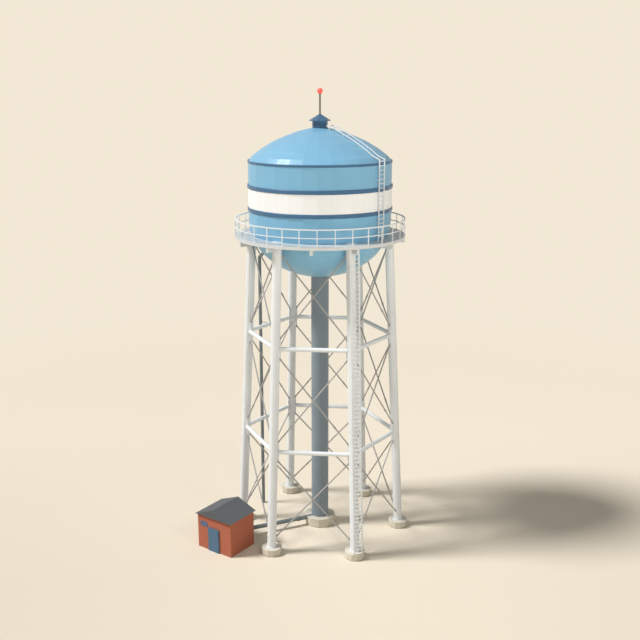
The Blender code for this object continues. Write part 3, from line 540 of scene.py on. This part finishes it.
class TowerColours(bpy.types.PropertyGroup):
    """Paint and material colours of the tower."""
    white: paint("White enamel", "Legs, struts, railing and ladders", "#E8ECEE")
    # Painted shade: the deck is the same white enamel as the legs, drawn darker for the shade it is seen in
    deck: paint("Deck enamel", "Balcony deck and its rim, greyed by wear", "#D5D9DA")
    tank: paint("Tank blue", "Tank shell", "#80B9DA")
    band: paint("Navy", "Hoops and vent", "#426C90")
    belt: paint("Belt white", "Painted belt round the tank", "#F9FAFA")
    riser: paint("Slate", "Riser pipe", "#84939E")
    pipe: paint("Pipe grey", "Supply and overflow pipes", "#737D80")
    rod: paint("Rod zinc", "Crossed rods", "#ACAAA9")
    mast: paint("Mast zinc", "Mast and door handle", "#7F817C")
    bolt: paint("Bolt zinc", "Weathered nuts of the footings, posts and flanges", "#A3A19A")
    lens: paint("Lens red", "Warning light", "#F9685A")
    concrete: paint("Concrete", "Footings and house floor", "#D6D0C0")
    wall: paint("Wall red", "Walls of the valve house", "#B3674D")
    roof: paint("Roof grey", "Roof of the valve house", "#585C60")
    door: paint("Door blue", "Door, its frame and the window frame", "#4A6E8B")
    glass: paint("Glass tint", "Window pane", "#52698C")
    floor: paint("Floor", "Studio floor", "#E3D8C5")
    softbox: paint("Softbox tint", "Slightly warm light on the shaded side", "#F3EFE8")
    backdrop: paint("Backdrop", "What the camera sees behind the tower", "#F2E8D5")


class TowerSizes(bpy.types.PropertyGroup):
    """Sizes of the fittings that are added to the solids, and strengths of the lights."""
    strut_width: measure("Strut width", "Outer width of the level struts", 0.33, 0.1, 0.4)
    rod_width: measure("Rod width", "Width of the crossed rods", 0.108, 0.02, 0.12)
    sleeve_width: measure("Sleeve width", "Width of the rods' end sleeves and turnbuckles", 0.14, 0.05, 0.2)
    plate_thickness: measure("Plate thickness", "Thickness of the corner plates", 0.03, 0.005, 0.05)
    bolt_width: measure("Bolt width", "Hexagon nuts, across their corners", 0.036, 0.01, 0.1)
    weld_width: measure("Weld width", "Width of the weld beads", 0.010, 0.004, 0.04)
    slat_depth: measure("Slat depth", "How far the vent's slats reach from their faces", 0.03, 0.01, 0.06)
    sun_angle: measure(
        "Light size", "Apparent size of the key light", math.radians(13.0), 0.0, 1.0, "ROTATION")
    sun_strength: measure("Key light", "Strength of the key light", 3.2, 0.0, 20.0, "NONE")
    softbox_power: measure(
        "Softbox", "Power of the soft light on the tank's shaded side, in watts",
        3000.0, 0.0, 20000.0, "NONE")
    softbox_width: measure("Softbox width", "Width of that light", 12.0, 1.0, 30.0)
    sky_strength: measure("Sky light", "Strength of the even light from all round", 0.25, 0.0, 5.0, "NONE")


def new_tree(name, **sizes):
    """An empty geometry tree that takes points, sizes and a material, and the sockets that give them."""
    tree = bpy.data.node_groups.new(name, "GeometryNodeTree")
    tree.interface.new_socket("Geometry", in_out="OUTPUT", socket_type="NodeSocketGeometry")
    for label, kind in {"Points": "Geometry", **sizes, "Material": "Material"}.items():
        tree.interface.new_socket(label, in_out="INPUT", socket_type="NodeSocket" + kind)
    return tree, add_node(tree, "NodeGroupInput").outputs


def close_tree(tree, given, shape):
    """Ends a tree in plain faces that carry its material."""
    whole = add_node(tree, "GeometryNodeRealizeInstances", (shape,))
    painted = add_node(tree, "GeometryNodeSetMaterial", {"Geometry": whole, "Material": given["Material"]})
    add_node(tree, "NodeGroupOutput", (painted,))


def close_copies(tree, given, shape, turn, socket):
    """Ends a tree in copies of a shape, each turned the way that its point faces."""
    facing = add_node(tree, "GeometryNodeInputNamedAttribute", {"Name": "facing"}, data_type="FLOAT_VECTOR")
    tree.links.new(facing.outputs[0], turn.inputs[socket])
    placed = add_node(tree, "GeometryNodeInstanceOnPoints", {
        "Points": given["Points"], "Instance": shape, "Rotation": turn})
    close_tree(tree, given, placed)


def tube_tree():
    """Round bars along lines: struts, rods, sleeves, flanges and weld beads."""
    tree, given = new_tree("Tubes along lines", Width="Float", Sides="Int")
    half = add_node(tree, "ShaderNodeMath", (given["Width"], 0.5), operation="MULTIPLY")
    lines = add_node(tree, "GeometryNodeMeshToCurve", {"Mesh": given["Points"]})
    circle = add_node(tree, "GeometryNodeCurvePrimitiveCircle", {
        "Resolution": given["Sides"], "Radius": half})
    tube = add_node(tree, "GeometryNodeCurveToMesh", {
        "Curve": lines, "Profile Curve": circle, "Fill Caps": True})
    close_tree(tree, given, tube)


def bolt_tree():
    """A hexagon nut on its washer at each point, turned the way the point faces."""
    tree, given = new_tree("Bolts at points", Width="Float", Height="Float")
    half = add_node(tree, "ShaderNodeMath", (given["Width"], 0.5), operation="MULTIPLY")
    rim = add_node(tree, "ShaderNodeMath", (given["Width"], WASHER_RADIUS_SHARE), operation="MULTIPLY")
    thin = add_node(tree, "ShaderNodeMath", (given["Height"], WASHER_DEPTH_SHARE), operation="MULTIPLY")
    nut = add_node(tree, "GeometryNodeMeshCylinder", {
        "Vertices": 6, "Radius": half, "Depth": given["Height"]})
    lift = add_node(tree, "ShaderNodeCombineXYZ", {2: thin})
    lifted = add_node(tree, "GeometryNodeTransform", {"Geometry": nut, "Translation": lift})
    washer = add_node(tree, "GeometryNodeMeshCylinder", {"Vertices": 12, "Radius": rim, "Depth": thin})
    both = add_node(tree, "GeometryNodeJoinGeometry", (lifted,))
    tree.links.new(washer.outputs[0], both.inputs[0])
    turn = add_node(tree, "FunctionNodeAlignRotationToVector", axis="Z")
    close_copies(tree, given, both, turn, "Vector")


def block_tree():
    """A block at each point, turned as the point says: slats, shoes, feet and strips."""
    tree, given = new_tree("Blocks at points", Size="Vector")
    block = add_node(tree, "GeometryNodeMeshCube", {"Size": given["Size"]})
    turn = add_node(tree, "FunctionNodeEulerToRotation")
    close_copies(tree, given, block, turn, "Euler")


def line_mesh(lines, closed=False):
    """A mesh of bare edges along runs of points."""
    corners = [tuple(point) for line in lines for point in line]
    edges = []
    start = 0
    for line in lines:
        edges += [(start + index, start + index + 1) for index in range(len(line) - 1)]
        if closed:
            edges.append((start + len(line) - 1, start))
        start += len(line)
    mesh = bpy.data.meshes.new("lines")
    mesh.from_pydata(corners, edges, [])
    return mesh


def point_mesh(points):
    """A mesh of bare points, each with the way that it faces or turns."""
    mesh = bpy.data.meshes.new("points")
    mesh.from_pydata([tuple(place) for place, facing in points], [], [])
    attribute = mesh.attributes.new("facing", "FLOAT_VECTOR", "POINT")
    attribute.data.foreach_set("vector", [value for place, facing in points for value in facing])
    return mesh


def solid_mesh(name, bm, material):
    """A mesh of one material, from the shape that was built for it."""
    mesh = bpy.data.meshes.new(name)
    bm.to_mesh(mesh)
    bm.free()
    mesh.materials.append(material)
    return mesh


def add_object(name, data):
    """An object in the scene, for a mesh, a light or a camera."""
    item = bpy.data.objects.new(name, data)
    bpy.context.scene.collection.objects.link(item)
    return item


def add_piece(name, mesh, body="tower"):
    """A finished piece that moves with its body."""
    piece = add_object(name, mesh)
    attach(piece, body)
    return piece


def grown(name, mesh, growth, inputs, body):
    """A piece that a geometry tree grows from lines or points, as a plain mesh."""
    seed = add_object(name + "_seed", mesh)
    modifier = seed.modifiers.new("growth", "NODES")
    modifier.node_group = bpy.data.node_groups[growth]
    for label, value in inputs.items():
        modifier[modifier.node_group.interface.items_tree[label].identifier] = value
    bpy.context.view_layer.update()
    graph = bpy.context.evaluated_depsgraph_get()
    settled = bpy.data.meshes.new_from_object(seed.evaluated_get(graph))
    seed.modifiers.remove(modifier)
    bpy.data.objects.remove(seed, do_unlink=True)
    settled.name = name
    return add_piece(name, settled, body)


def tubes(name, lines, width, sides, material, closed=False, body="tower"):
    """Round bars along lines, smooth round their sides."""
    inputs = {"Width": width, "Sides": sides, "Material": material}
    piece = grown(name, line_mesh(lines, closed), "Tubes along lines", inputs, body)
    piece.data.shade_smooth()
    piece.data.set_sharp_from_angle(angle=math.radians(SMOOTH_BELOW))
    return piece


def bolts(name, points, width, material):
    """Nuts at points, each facing its own way."""
    inputs = {"Width": width, "Height": width * NUT_HEIGHT_SHARE, "Material": material}
    return grown(name, point_mesh(points), "Bolts at points", inputs, "tower")


def blocks(name, points, size, material, body="tower"):
    """Blocks of one size at points, each turned its own way."""
    inputs = {"Size": size, "Material": material}
    return grown(name, point_mesh(points), "Blocks at points", inputs, body)


def coat(finish, material):
    """Puts a material on the CAD nodes of one finish."""
    for name in FINISHES[finish]:
        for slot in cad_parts[name].material_slots:
            slot.material = material


def plates_mesh(name, outlines, thickness, material):
    """Flat plates, each from its outline and the way that it faces."""
    bm = bmesh.new()
    for outline, facing in outlines:
        half = facing * thickness / 2.0
        face = bm.faces.new([bm.verts.new(point - half) for point in outline])
        pushed = bmesh.ops.extrude_face_region(bm, geom=[face])["geom"]
        corners = [item for item in pushed if isinstance(item, bmesh.types.BMVert)]
        bmesh.ops.translate(bm, verts=corners, vec=half * 2.0)
    bmesh.ops.recalc_face_normals(bm, faces=bm.faces)
    return solid_mesh(name, bm, material)


def bead_ring(radius, height, count, centre=Vector(), first=0.0):
    """A level ring of points, its corners where the solids have theirs."""
    return [polar(radius, azimuth, height) + centre for azimuth in azimuths(count, first)]


def bowl_line(azimuth):
    """A line up the outside of the bowl."""
    start = math.asin(BOWL_MOUTH_RADIUS / TANK_RADIUS)
    points = []
    for step in range(BOWL_STEPS + 1):
        angle = start + (math.pi / 2.0 - start) * step / BOWL_STEPS
        height = WALL_FOOT - BOWL_DEPTH * math.cos(angle)
        points.append(polar(TANK_RADIUS * math.sin(angle), azimuth, height))
    return points


def side_point(azimuth, side, height):
    """A point on the centre line of the leg at one end of a tower side."""
    return polar(leg_line(height), azimuth + side * HALF_SIDE, height)


class TOWER_OT_stage(bpy.types.Operator):
    """Makes the floor, the lights and the camera"""
    bl_idname = "tower.stage"
    bl_label = "Stage"

    def execute(self, context):
        sizes = context.scene.tower_sizes
        self.make_floor()
        self.make_light(sizes)
        self.make_softbox(sizes)
        self.make_world(context.scene, sizes.sky_strength)
        self.make_camera(context.scene)
        context.scene.view_settings.view_transform = "Standard"
        return {"FINISHED"}

    def make_floor(self):
        bm = bmesh.new()
        bmesh.ops.create_circle(bm, cap_ends=True, radius=FLOOR_RADIUS, segments=FLOOR_SIDES)
        bmesh.ops.translate(bm, verts=bm.verts, vec=(0.0, 0.0, FLOOR_LEVEL))
        add_object("studio_floor", solid_mesh("studio_floor", bm, self.floor_paper()))

    def floor_paper(self):
        """Matte studio paper with painted light, drawn lighter to the back, that fades into the backdrop's
        own light.
        """
        material, tree, shader, place = start_material("studio_paper", 0.95)
        shader.inputs["Specular IOR Level"].default_value = 0.1
        # Painted light: the paper's colour is raised by up to a tenth towards the back
        back = tuple(polar(1.0, FLOOR_PAINTED_LIGHT_AZIMUTH))
        ahead = add_node(tree, "ShaderNodeVectorMath", (place, back), operation="DOT_PRODUCT")
        painted_light = add_node(tree, "ShaderNodeMapRange", {
            "Value": ahead.outputs["Value"], "To Min": 1.0, "To Max": FLOOR_PAINTED_LIGHT_MOST,
            "From Min": FLOOR_PAINTED_LIGHT_REACH[0], "From Max": FLOOR_PAINTED_LIGHT_REACH[1]})
        tone = drifting(tree, place, colour("floor"), 8.0, 0.002)
        painted_light_tone = add_node(tree, "ShaderNodeVectorMath", {0: tone, "Scale": painted_light}, operation="SCALE")
        coloured(tree, shader, painted_light_tone.outputs[0])
        glow = add_node(tree, "ShaderNodeEmission", {"Color": colour("backdrop"), "Strength": 1.0})
        reach = add_node(tree, "ShaderNodeVectorMath", (place,), operation="LENGTH")
        share = add_node(tree, "ShaderNodeMapRange", {
            "Value": reach.outputs["Value"], "From Min": FLOOR_LIT_RADIUS, "From Max": FLOOR_FADE_RADIUS,
        }, interpolation_type="SMOOTHSTEP")
        blend = add_node(tree, "ShaderNodeMixShader", (share, shader, glow))
        end = next(node for node in tree.nodes if node.type == "OUTPUT_MATERIAL")
        tree.links.new(blend.outputs[0], end.inputs["Surface"])
        return material

    def make_light(self, sizes):
        """The key light, wide enough for soft shadows."""
        light = bpy.data.lights.new("key_light", "SUN")
        light.energy = sizes.sun_strength
        light.angle = sizes.sun_angle
        height = math.radians(SUN_HEIGHT)
        toward = polar(math.cos(height), SUN_AZIMUTH, math.sin(height))
        add_object("key_light", light).rotation_euler = toward.to_track_quat("Z", "Y").to_euler()

    def make_softbox(self, sizes):
        """A wide soft light level with the tank, on its shaded side."""
        light = bpy.data.lights.new("softbox", "AREA")
        light.shape = "DISK"
        light.size = sizes.softbox_width
        light.energy = sizes.softbox_power
        light.color = colour("softbox")
        softbox = add_object("softbox", light)
        softbox.location = polar(SOFTBOX_DISTANCE, SOFTBOX_AZIMUTH, SOFTBOX_HEIGHT)
        away = softbox.location - Vector(SOFTBOX_AIM)
        softbox.rotation_euler = away.to_track_quat("Z", "Y").to_euler()
        softbox.visible_camera = False
        softbox.visible_glossy = False

    def make_world(self, scene, strength):
        """The camera sees the backdrop, gloss reflects part of it, and a white dome lights the tower."""
        world = bpy.data.worlds.new("studio")
        world.use_nodes = True
        tree = world.node_tree
        tree.nodes.clear()
        dome = add_node(tree, "ShaderNodeBackground", {"Color": (1.0, 1.0, 1.0), "Strength": strength})
        seen = add_node(tree, "ShaderNodeBackground", {"Color": colour("backdrop"), "Strength": 1.0})
        ray = add_node(tree, "ShaderNodeLightPath").outputs
        mirrored = add_node(tree, "ShaderNodeMath", (ray["Is Glossy Ray"], BACKDROP_IN_GLOSS),
                            operation="MULTIPLY")
        share = add_node(tree, "ShaderNodeMath", (ray["Is Camera Ray"], mirrored), operation="MAXIMUM")
        both = add_node(tree, "ShaderNodeMixShader", (share, dome, seen))
        add_node(tree, "ShaderNodeOutputWorld", {"Surface": both})
        scene.world = world

    def make_camera(self, scene):
        lens = bpy.data.cameras.new("camera")
        lens.lens = CAMERA_LENS
        lens.clip_end = CAMERA_REACH
        camera = add_object("camera", lens)
        camera.location = CAMERA_PLACE
        turn = (math.radians(90.0 - CAMERA_PITCH), 0.0, math.radians(CAMERA_TURN))
        camera.rotation_euler = Euler(turn)
        scene.camera = camera


class TOWER_OT_tank(bpy.types.Operator):
    """Coats the tank and adds its weld beads"""
    bl_idname = "tower.tank"
    bl_label = "Tank"

    def execute(self, context):
        width = context.scene.tower_sizes.weld_width
        blue = tank_enamel("alkyd_enamel_blue", colour("tank"), 0.38)
        coat("tank", blue)
        coat("band", enamel("alkyd_enamel_navy_bands", colour("band"), 0.36, ROLLED_SHARE)[0])
        coat("belt", tank_enamel("alkyd_enamel_belt_white", colour("belt"), 0.38))
        uprights = []
        for azimuth in azimuths(GORE_COUNT):
            uprights.append(bowl_line(azimuth))
            uprights.append([polar(radius, azimuth, WALL_HEAD + rise) for radius, rise in ROOF_OUTLINE])
            uprights.append([polar(TANK_RADIUS, azimuth, level) for level in (WALL_FOOT, WALL_HEAD)])
        tubes("tank_upright_welds", uprights, width, BEAD_SIDES, blue)
        roof_radius, roof_rise = ROOF_OUTLINE[ROOF_WELD_STEP]
        bowl = bowl_line(0.0)[BOWL_WELD_STEP]
        rings = [
            bead_ring(TANK_RADIUS, WALL_FOOT, TANK_SIDES),
            bead_ring(roof_radius, WALL_HEAD + roof_rise, TANK_SIDES),
            bead_ring(bowl.x, bowl.z, TANK_SIDES),
        ]
        tubes("tank_level_welds", rings, width, BEAD_SIDES, blue, closed=True)
        return {"FINISHED"}


class TOWER_OT_roof_fittings(bpy.types.Operator):
    """Finishes the vent, the mast and the warning light"""
    bl_idname = "tower.roof_fittings"
    bl_label = "Vent, mast and light"

    def execute(self, context):
        navy = enamel("alkyd_enamel_navy_vent", colour("band"), 0.36)[0]
        coat("vent", navy)
        steel = bare_steel("galvanised_steel_mast", colour("mast"), 0.42, 0.85, 0.02)
        coat("mast", steel)
        coat("lens", moulded_lens("moulded_polycarbonate_red", colour("lens")))
        self.add_slats(context.scene.tower_sizes.slat_depth, navy)
        hips = [[polar(CAP_RADIUS, azimuth, CAP_EDGE), polar(CAP_HEAD_RADIUS, azimuth, CAP_HEAD)]
                for azimuth in azimuths(VENT_SIDES)]
        tubes("vent_cap_hips", hips, HIP_WIDTH, BEAD_SIDES, navy)
        self.add_disc("mast_foot", CAP_HEAD, MAST_FOOT_DEPTH, MAST_FOOT_WIDTH, steel)
        self.add_disc("light_seat", LAMP_SEAT_LEVEL, LAMP_SEAT_DEPTH, LAMP_SEAT_WIDTH, steel)
        return {"FINISHED"}

    def add_slats(self, depth, navy):
        """Slats that lean out of each face of the vent."""
        half_turn = 180.0 / VENT_SIDES
        line = VENT_RADIUS * math.cos(math.radians(half_turn)) + depth / 2.0
        slats = [(polar(line, azimuth, level), (0.0, SLAT_TILT, math.radians(azimuth)))
                 for azimuth in azimuths(VENT_SIDES, half_turn) for level in SLAT_LEVELS]
        blocks("vent_slats", slats, (depth, SLAT_WIDTH, SLAT_THICKNESS), navy)

    def add_disc(self, name, level, depth, width, steel):
        """A low round plate on the tower's axis."""
        tubes(name, [[UP * level, UP * (level + depth)]], width, DISC_SIDES, steel)


class TOWER_OT_bracing(bpy.types.Operator):
    """Makes the struts, the crossed rods and their plates and bolts"""
    bl_idname = "tower.bracing"
    bl_label = "Bracing"

    def execute(self, context):
        sizes = context.scene.tower_sizes
        white = enamel("alkyd_enamel_white", colour("white"), 0.42)[0]
        zinc = bare_steel("galvanised_steel_rod", colour("rod"), 0.5, 0.25, 0.03)
        bare_steel("zinc_plated_bolt", colour("bolt"), 0.6, 0.3, 0.01)
        struts, rods, sleeves, plates, nuts = [], [], [], [], []
        for leg in LEG_AZIMUTHS:
            azimuth = leg + HALF_SIDE
            for level in STRUT_LEVELS:
                ends = [side_point(azimuth, side, level) for side in (-1, 1)]
                struts.append(self.between_legs(*ends))
            self.add_rods(azimuth, rods, sleeves)
            self.add_plates(azimuth, sizes.plate_thickness, plates, nuts)
        plates = plates_mesh("corner_plates", plates, sizes.plate_thickness, white)
        made = [
            tubes("bracing_struts", struts, sizes.strut_width, STRUT_SIDES, white),
            tubes("bracing_rods", rods, sizes.rod_width, ROD_SIDES, zinc),
            tubes("rod_sleeves", sleeves, sizes.sleeve_width, ROD_SIDES, zinc),
            add_piece("corner_plates", plates),
            bolts("plate_bolts", nuts, sizes.bolt_width, white),
        ]
        for piece in made:
            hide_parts(*numbered("side_bracing", 6))
        return {"FINISHED"}

    def between_legs(self, start, end):
        """The stretch of a line from just inside one leg to just inside the next."""
        along = (end - start).normalized() * (LEG_RADIUS * BAR_START_SHARE)
        return [start + along, end - along]

    def add_rods(self, azimuth, rods, sleeves):
        """Both slopes of rods on one side, with their end sleeves and turnbuckles."""
        outward = polar(1.0, azimuth)
        feet = [ROD_FOOT] + [level + ROD_OFFSET for level in STRUT_LEVELS]
        heads = [level - ROD_OFFSET for level in STRUT_LEVELS] + [ROD_HEAD]
        for side in (-1, 1):
            aside = outward * (side * ROD_SHIFT)
            for foot, head in zip(feet, heads):
                start = side_point(azimuth, side, foot) + aside
                end = side_point(azimuth, -side, head) + aside
                rods.append(self.between_legs(start, end))
                along = (end - start).normalized()
                near, far = SLEEVE_REACH
                sleeves.append([start + along * near, start + along * far])
                sleeves.append([end - along * far, end - along * near])
                near, far = TURNBUCKLE_REACH
                sleeves.append([start + along * near, start + along * far])

    def add_plates(self, azimuth, thickness, plates, nuts):
        """Corner plates where the struts meet the legs, with the nuts on both faces."""
        along = polar(1.0, azimuth + 90.0)
        outward = polar(1.0, azimuth)
        lift = outward * thickness * PLATE_NUT_LIFT
        for side in (-1, 1):
            for level in STRUT_LEVELS:
                corners, holes = [
                    [side_point(azimuth, side, level + rise) - along * (side * reach)
                     for reach, rise in places] for places in (PLATE_OUTLINE, PLATE_BOLTS)]
                plates.append((corners, outward))
                for hole in holes:
                    nuts.append((hole + lift, outward))
                    nuts.append((hole - lift, -outward))


class TOWER_OT_legs(bpy.types.Operator):
    """Coats the legs and footings and adds base plates, anchor nuts and welds"""
    bl_idname = "tower.legs"
    bl_label = "Legs and footings"

    def execute(self, context):
        sizes = context.scene.tower_sizes
        white = bpy.data.materials["alkyd_enamel_white"]
        coat("white", white)
        coat("concrete", cast_concrete("cast_concrete", colour("concrete")))
        bases, anchors, welds = [], [], []
        top = FOOTING_HEIGHT + BASE_PLATE_DEPTH
        for azimuth in LEG_AZIMUTHS:
            centre = polar(leg_line(FOOTING_HEIGHT), azimuth)
            bases.append([centre + UP * FOOTING_HEIGHT, centre + UP * top])
            anchors += [(place, UP) for place in bead_ring(ANCHOR_LINE, top, ANCHOR_COUNT, centre)]
            for level in LEG_WELDS:
                middle = polar(leg_line(level), azimuth)
                welds.append(bead_ring(LEG_RADIUS, level, LEG_SIDES, middle, azimuth + 180.0 / LEG_SIDES))
        tubes("leg_base_plates", bases, BASE_PLATE_RADIUS * 2.0, BASE_PLATE_SIDES, white)
        bolts("anchor_nuts", anchors, sizes.bolt_width, bpy.data.materials["zinc_plated_bolt"])
        width = sizes.weld_width * HEAVY_WELD
        tubes("leg_welds", welds, width, BEAD_SIDES, white, closed=True)
        return {"FINISHED"}


class TOWER_OT_balcony(bpy.types.Operator):
    """Coats the balcony and adds the feet of its railing posts"""
    bl_idname = "tower.balcony"
    bl_label = "Balcony"

    def execute(self, context):
        width = context.scene.tower_sizes.bolt_width * SHOE_NUT_SHARE
        coat("deck", deck_enamel("alkyd_enamel_chequer_plate", colour("deck"), 0.45))
        shoes, nuts = [], []
        for azimuth in azimuths(POST_COUNT):
            place = polar(SHOE_LINE, azimuth, DECK_LEVEL + SHOE_SIZE[2] / 2.0)
            shoes.append((place, (0.0, 0.0, math.radians(azimuth))))
            for turn in (azimuth - SHOE_NUT_TURN, azimuth + SHOE_NUT_TURN):
                nuts.append((polar(SHOE_LINE, turn, DECK_LEVEL + SHOE_NUT_LIFT), UP))
        blocks("post_shoes", shoes, SHOE_SIZE, bpy.data.materials["alkyd_enamel_white"])
        bolts("post_nuts", nuts, width, bpy.data.materials["zinc_plated_bolt"])
        return {"FINISHED"}


class TOWER_OT_pipes(bpy.types.Operator):
    """Coats the riser and pipes and adds flanges, clamps and stays"""
    bl_idname = "tower.pipes"
    bl_label = "Riser and pipes"

    def execute(self, context):
        sizes = context.scene.tower_sizes
        slate = enamel("epoxy_enamel_slate", colour("riser"), 0.46)[0]
        grey = enamel("epoxy_enamel_grey", colour("pipe"), 0.46)[0]
        coat("riser", slate)
        coat("pipe", grey)
        foot, head = RISER_END_WELDS
        joints = [RISER_COURSE_FOOT + RISER_COURSE_HEIGHT * step for step in range(RISER_COURSES)]
        rings = [bead_ring(RISER_RADIUS, level, RISER_SIDES) for level in (foot, *joints, head)]
        width = sizes.weld_width * HEAVY_WELD
        tubes("riser_welds", rings, width, BEAD_SIDES, slate, closed=True)
        self.add_supply_flanges(sizes.bolt_width, grey)
        self.add_overflow_stays(grey)
        return {"FINISHED"}

    def add_supply_flanges(self, nut_width, grey):
        """A pair of bolted flanges near each end of the supply pipe."""
        end = Vector((HOUSE_MIDDLE, HOUSE_BACK, SUPPLY_LEVEL))
        start = UP * SUPPLY_LEVEL
        along = (end - start).normalized()
        aside = along.cross(UP)
        flanges, nuts = [], []
        for centre in (start + along * FLANGE_FROM_RISER, end - along * FLANGE_FROM_HOUSE):
            for side in (-1, 1):
                face = centre + along * (side * FLANGE_SETBACK)
                flanges.append([face, face + along * (side * FLANGE_DEPTH)])
                for turn in azimuths(FLANGE_NUTS):
                    angle = math.radians(turn)
                    spoke = aside * math.cos(angle) + UP * math.sin(angle)
                    place = face + along * (side * FLANGE_NUT_LIFT) + spoke * FLANGE_NUT_LINE
                    nuts.append((place, along * side))
        tubes("supply_flanges", flanges, FLANGE_WIDTH, FLANGE_SIDES, grey)
        bolts("flange_nuts", nuts, nut_width, bpy.data.materials["zinc_plated_bolt"])

    def add_overflow_stays(self, grey):
        """Short bars that hold the overflow pipe off the struts beside it."""
        stays, clamps = [], []
        for level in STRUT_LEVELS:
            strut = -leg_line(level) * math.cos(math.radians(HALF_SIDE))
            ends = (strut - STAY_REACH, OVERFLOW_LINE + OVERFLOW_RADIUS)
            stays.append([Vector((x, 0.0, level)) for x in ends])
            clamps.append(bead_ring(OVERFLOW_RADIUS, level, DISC_SIDES, Vector((OVERFLOW_LINE, 0.0, 0.0))))
        tubes("overflow_stays", stays, STAY_WIDTH, STAY_SIDES, grey)
        tubes("overflow_clamps", clamps, CLAMP_WIDTH, BEAD_SIDES, grey, closed=True)


class TOWER_OT_ladders(bpy.types.Operator):
    """Adds the feet that hold both ladders down"""
    bl_idname = "tower.ladders"
    bl_label = "Ladder feet"

    def execute(self, context):
        leg_foot = leg_line(FOOTING_HEIGHT) + LEG_LADDER_STANDOFF
        feet = self.feet(leg_foot, LEG_LADDER_AZIMUTH, LEG_LADDER_HALF_WIDTH, FOOTING_HEIGHT)
        feet += self.feet(TANK_LADDER_LINE, TANK_LADDER_AZIMUTH, TANK_LADDER_HALF_WIDTH, DECK_LEVEL)
        white = bpy.data.materials["alkyd_enamel_white"]
        blocks("ladder_feet", feet, LADDER_FOOT_SIZE, white)
        return {"FINISHED"}

    def feet(self, distance, azimuth, half_width, level):
        """A plate under each rail of a ladder."""
        aside = polar(half_width, azimuth + 90.0)
        centre = polar(distance, azimuth, level + LADDER_FOOT_SIZE[2] / 2.0)
        return [(centre + aside * side, (0.0, 0.0, math.radians(azimuth))) for side in (-1, 1)]


class TOWER_OT_house(bpy.types.Operator):
    """Finishes the valve house: walls, roof, door and window"""
    bl_idname = "tower.house"
    bl_label = "Valve house"

    def execute(self, context):
        coat("wall", painted_brick("painted_brickwork", colour("wall")))
        felt = mineral_felt("mineral_roofing_felt", colour("roof"))
        coat("roof", felt)
        coat("door", painted_boards("gloss_paint_on_boards", colour("door")))
        coat("sash", enamel("gloss_paint_on_sash", colour("door"), 0.4)[0])
        coat("glass", tinted_glass("tinted_float_glass", colour("glass")))
        self.add_ridge_cap(felt)
        self.add_door_furniture()
        return {"FINISHED"}

    def add_ridge_cap(self, felt):
        """A strip of felt along each side of the ridge."""
        ridge = Vector((HOUSE_MIDDLE, (HOUSE_FRONT + HOUSE_BACK) / 2.0, HOUSE_EAVES + ROOF_RISE))
        slope = math.atan2(ROOF_RISE, ROOF_HALF_WIDTH)
        caps = []
        for side in (-1, 1):
            away = Vector((side * math.sin(slope), 0.0, math.cos(slope)))
            down = Vector((side * math.cos(slope), 0.0, -math.sin(slope)))
            centre = ridge + down * RIDGE_CAP_REACH + away * (RIDGE_CAP_SIZE[2] / 2.0)
            caps.append((centre, (0.0, side * slope, 0.0)))
        blocks("ridge_cap", caps, RIDGE_CAP_SIZE, felt)

    def add_door_furniture(self):
        """Lever handle on its plate, which move with the door."""
        steel = bpy.data.materials["galvanised_steel_mast"]
        plate = Vector((LATCH_LINE, DOOR_FRONT - LATCH_SIZE[1] / 2.0, LATCH_LEVEL))
        blocks("latch_plate", [(plate, (0.0, 0.0, 0.0))], LATCH_SIZE, steel, "door")
        lever = [Vector((LATCH_LINE + across, DOOR_FRONT - out, LEVER_LEVEL)) for across, out in LEVER_PATH]
        tubes("door_lever", [lever], LEVER_WIDTH, LEVER_SIDES, steel, body="door")


class TOWER_PT_panel(bpy.types.Panel):
    """Colours, sizes and pieces of the tower"""
    bl_label = "Water tower"
    bl_idname = "TOWER_PT_panel"
    bl_space_type = "VIEW_3D"
    bl_region_type = "UI"
    bl_category = "Tower"

    def draw(self, context):
        layout = self.layout
        for group in (context.scene.tower_colours, context.scene.tower_sizes):
            for name in group.__annotations__:
                layout.prop(group, name)
        for operator in OPERATORS:
            layout.operator(operator.bl_idname)


OPERATORS = (
    TOWER_OT_stage,
    TOWER_OT_tank,
    TOWER_OT_roof_fittings,
    TOWER_OT_bracing,
    TOWER_OT_legs,
    TOWER_OT_ladders,
    TOWER_OT_balcony,
    TOWER_OT_pipes,
    TOWER_OT_house,
)
CLASSES = (TowerColours, TowerSizes, *OPERATORS, TOWER_PT_panel)


def register():
    for item in CLASSES:
        bpy.utils.register_class(item)
    bpy.types.Scene.tower_colours = bpy.props.PointerProperty(type=TowerColours)
    bpy.types.Scene.tower_sizes = bpy.props.PointerProperty(type=TowerSizes)


def unregister():
    del bpy.types.Scene.tower_sizes
    del bpy.types.Scene.tower_colours
    for item in reversed(CLASSES):
        bpy.utils.unregister_class(item)


def main():
    register()
    tube_tree()
    bolt_tree()
    block_tree()
    for operator in OPERATORS:
        group, name = operator.bl_idname.split(".")
        getattr(getattr(bpy.ops, group), name)()


if __name__ == "__main__":
    main()
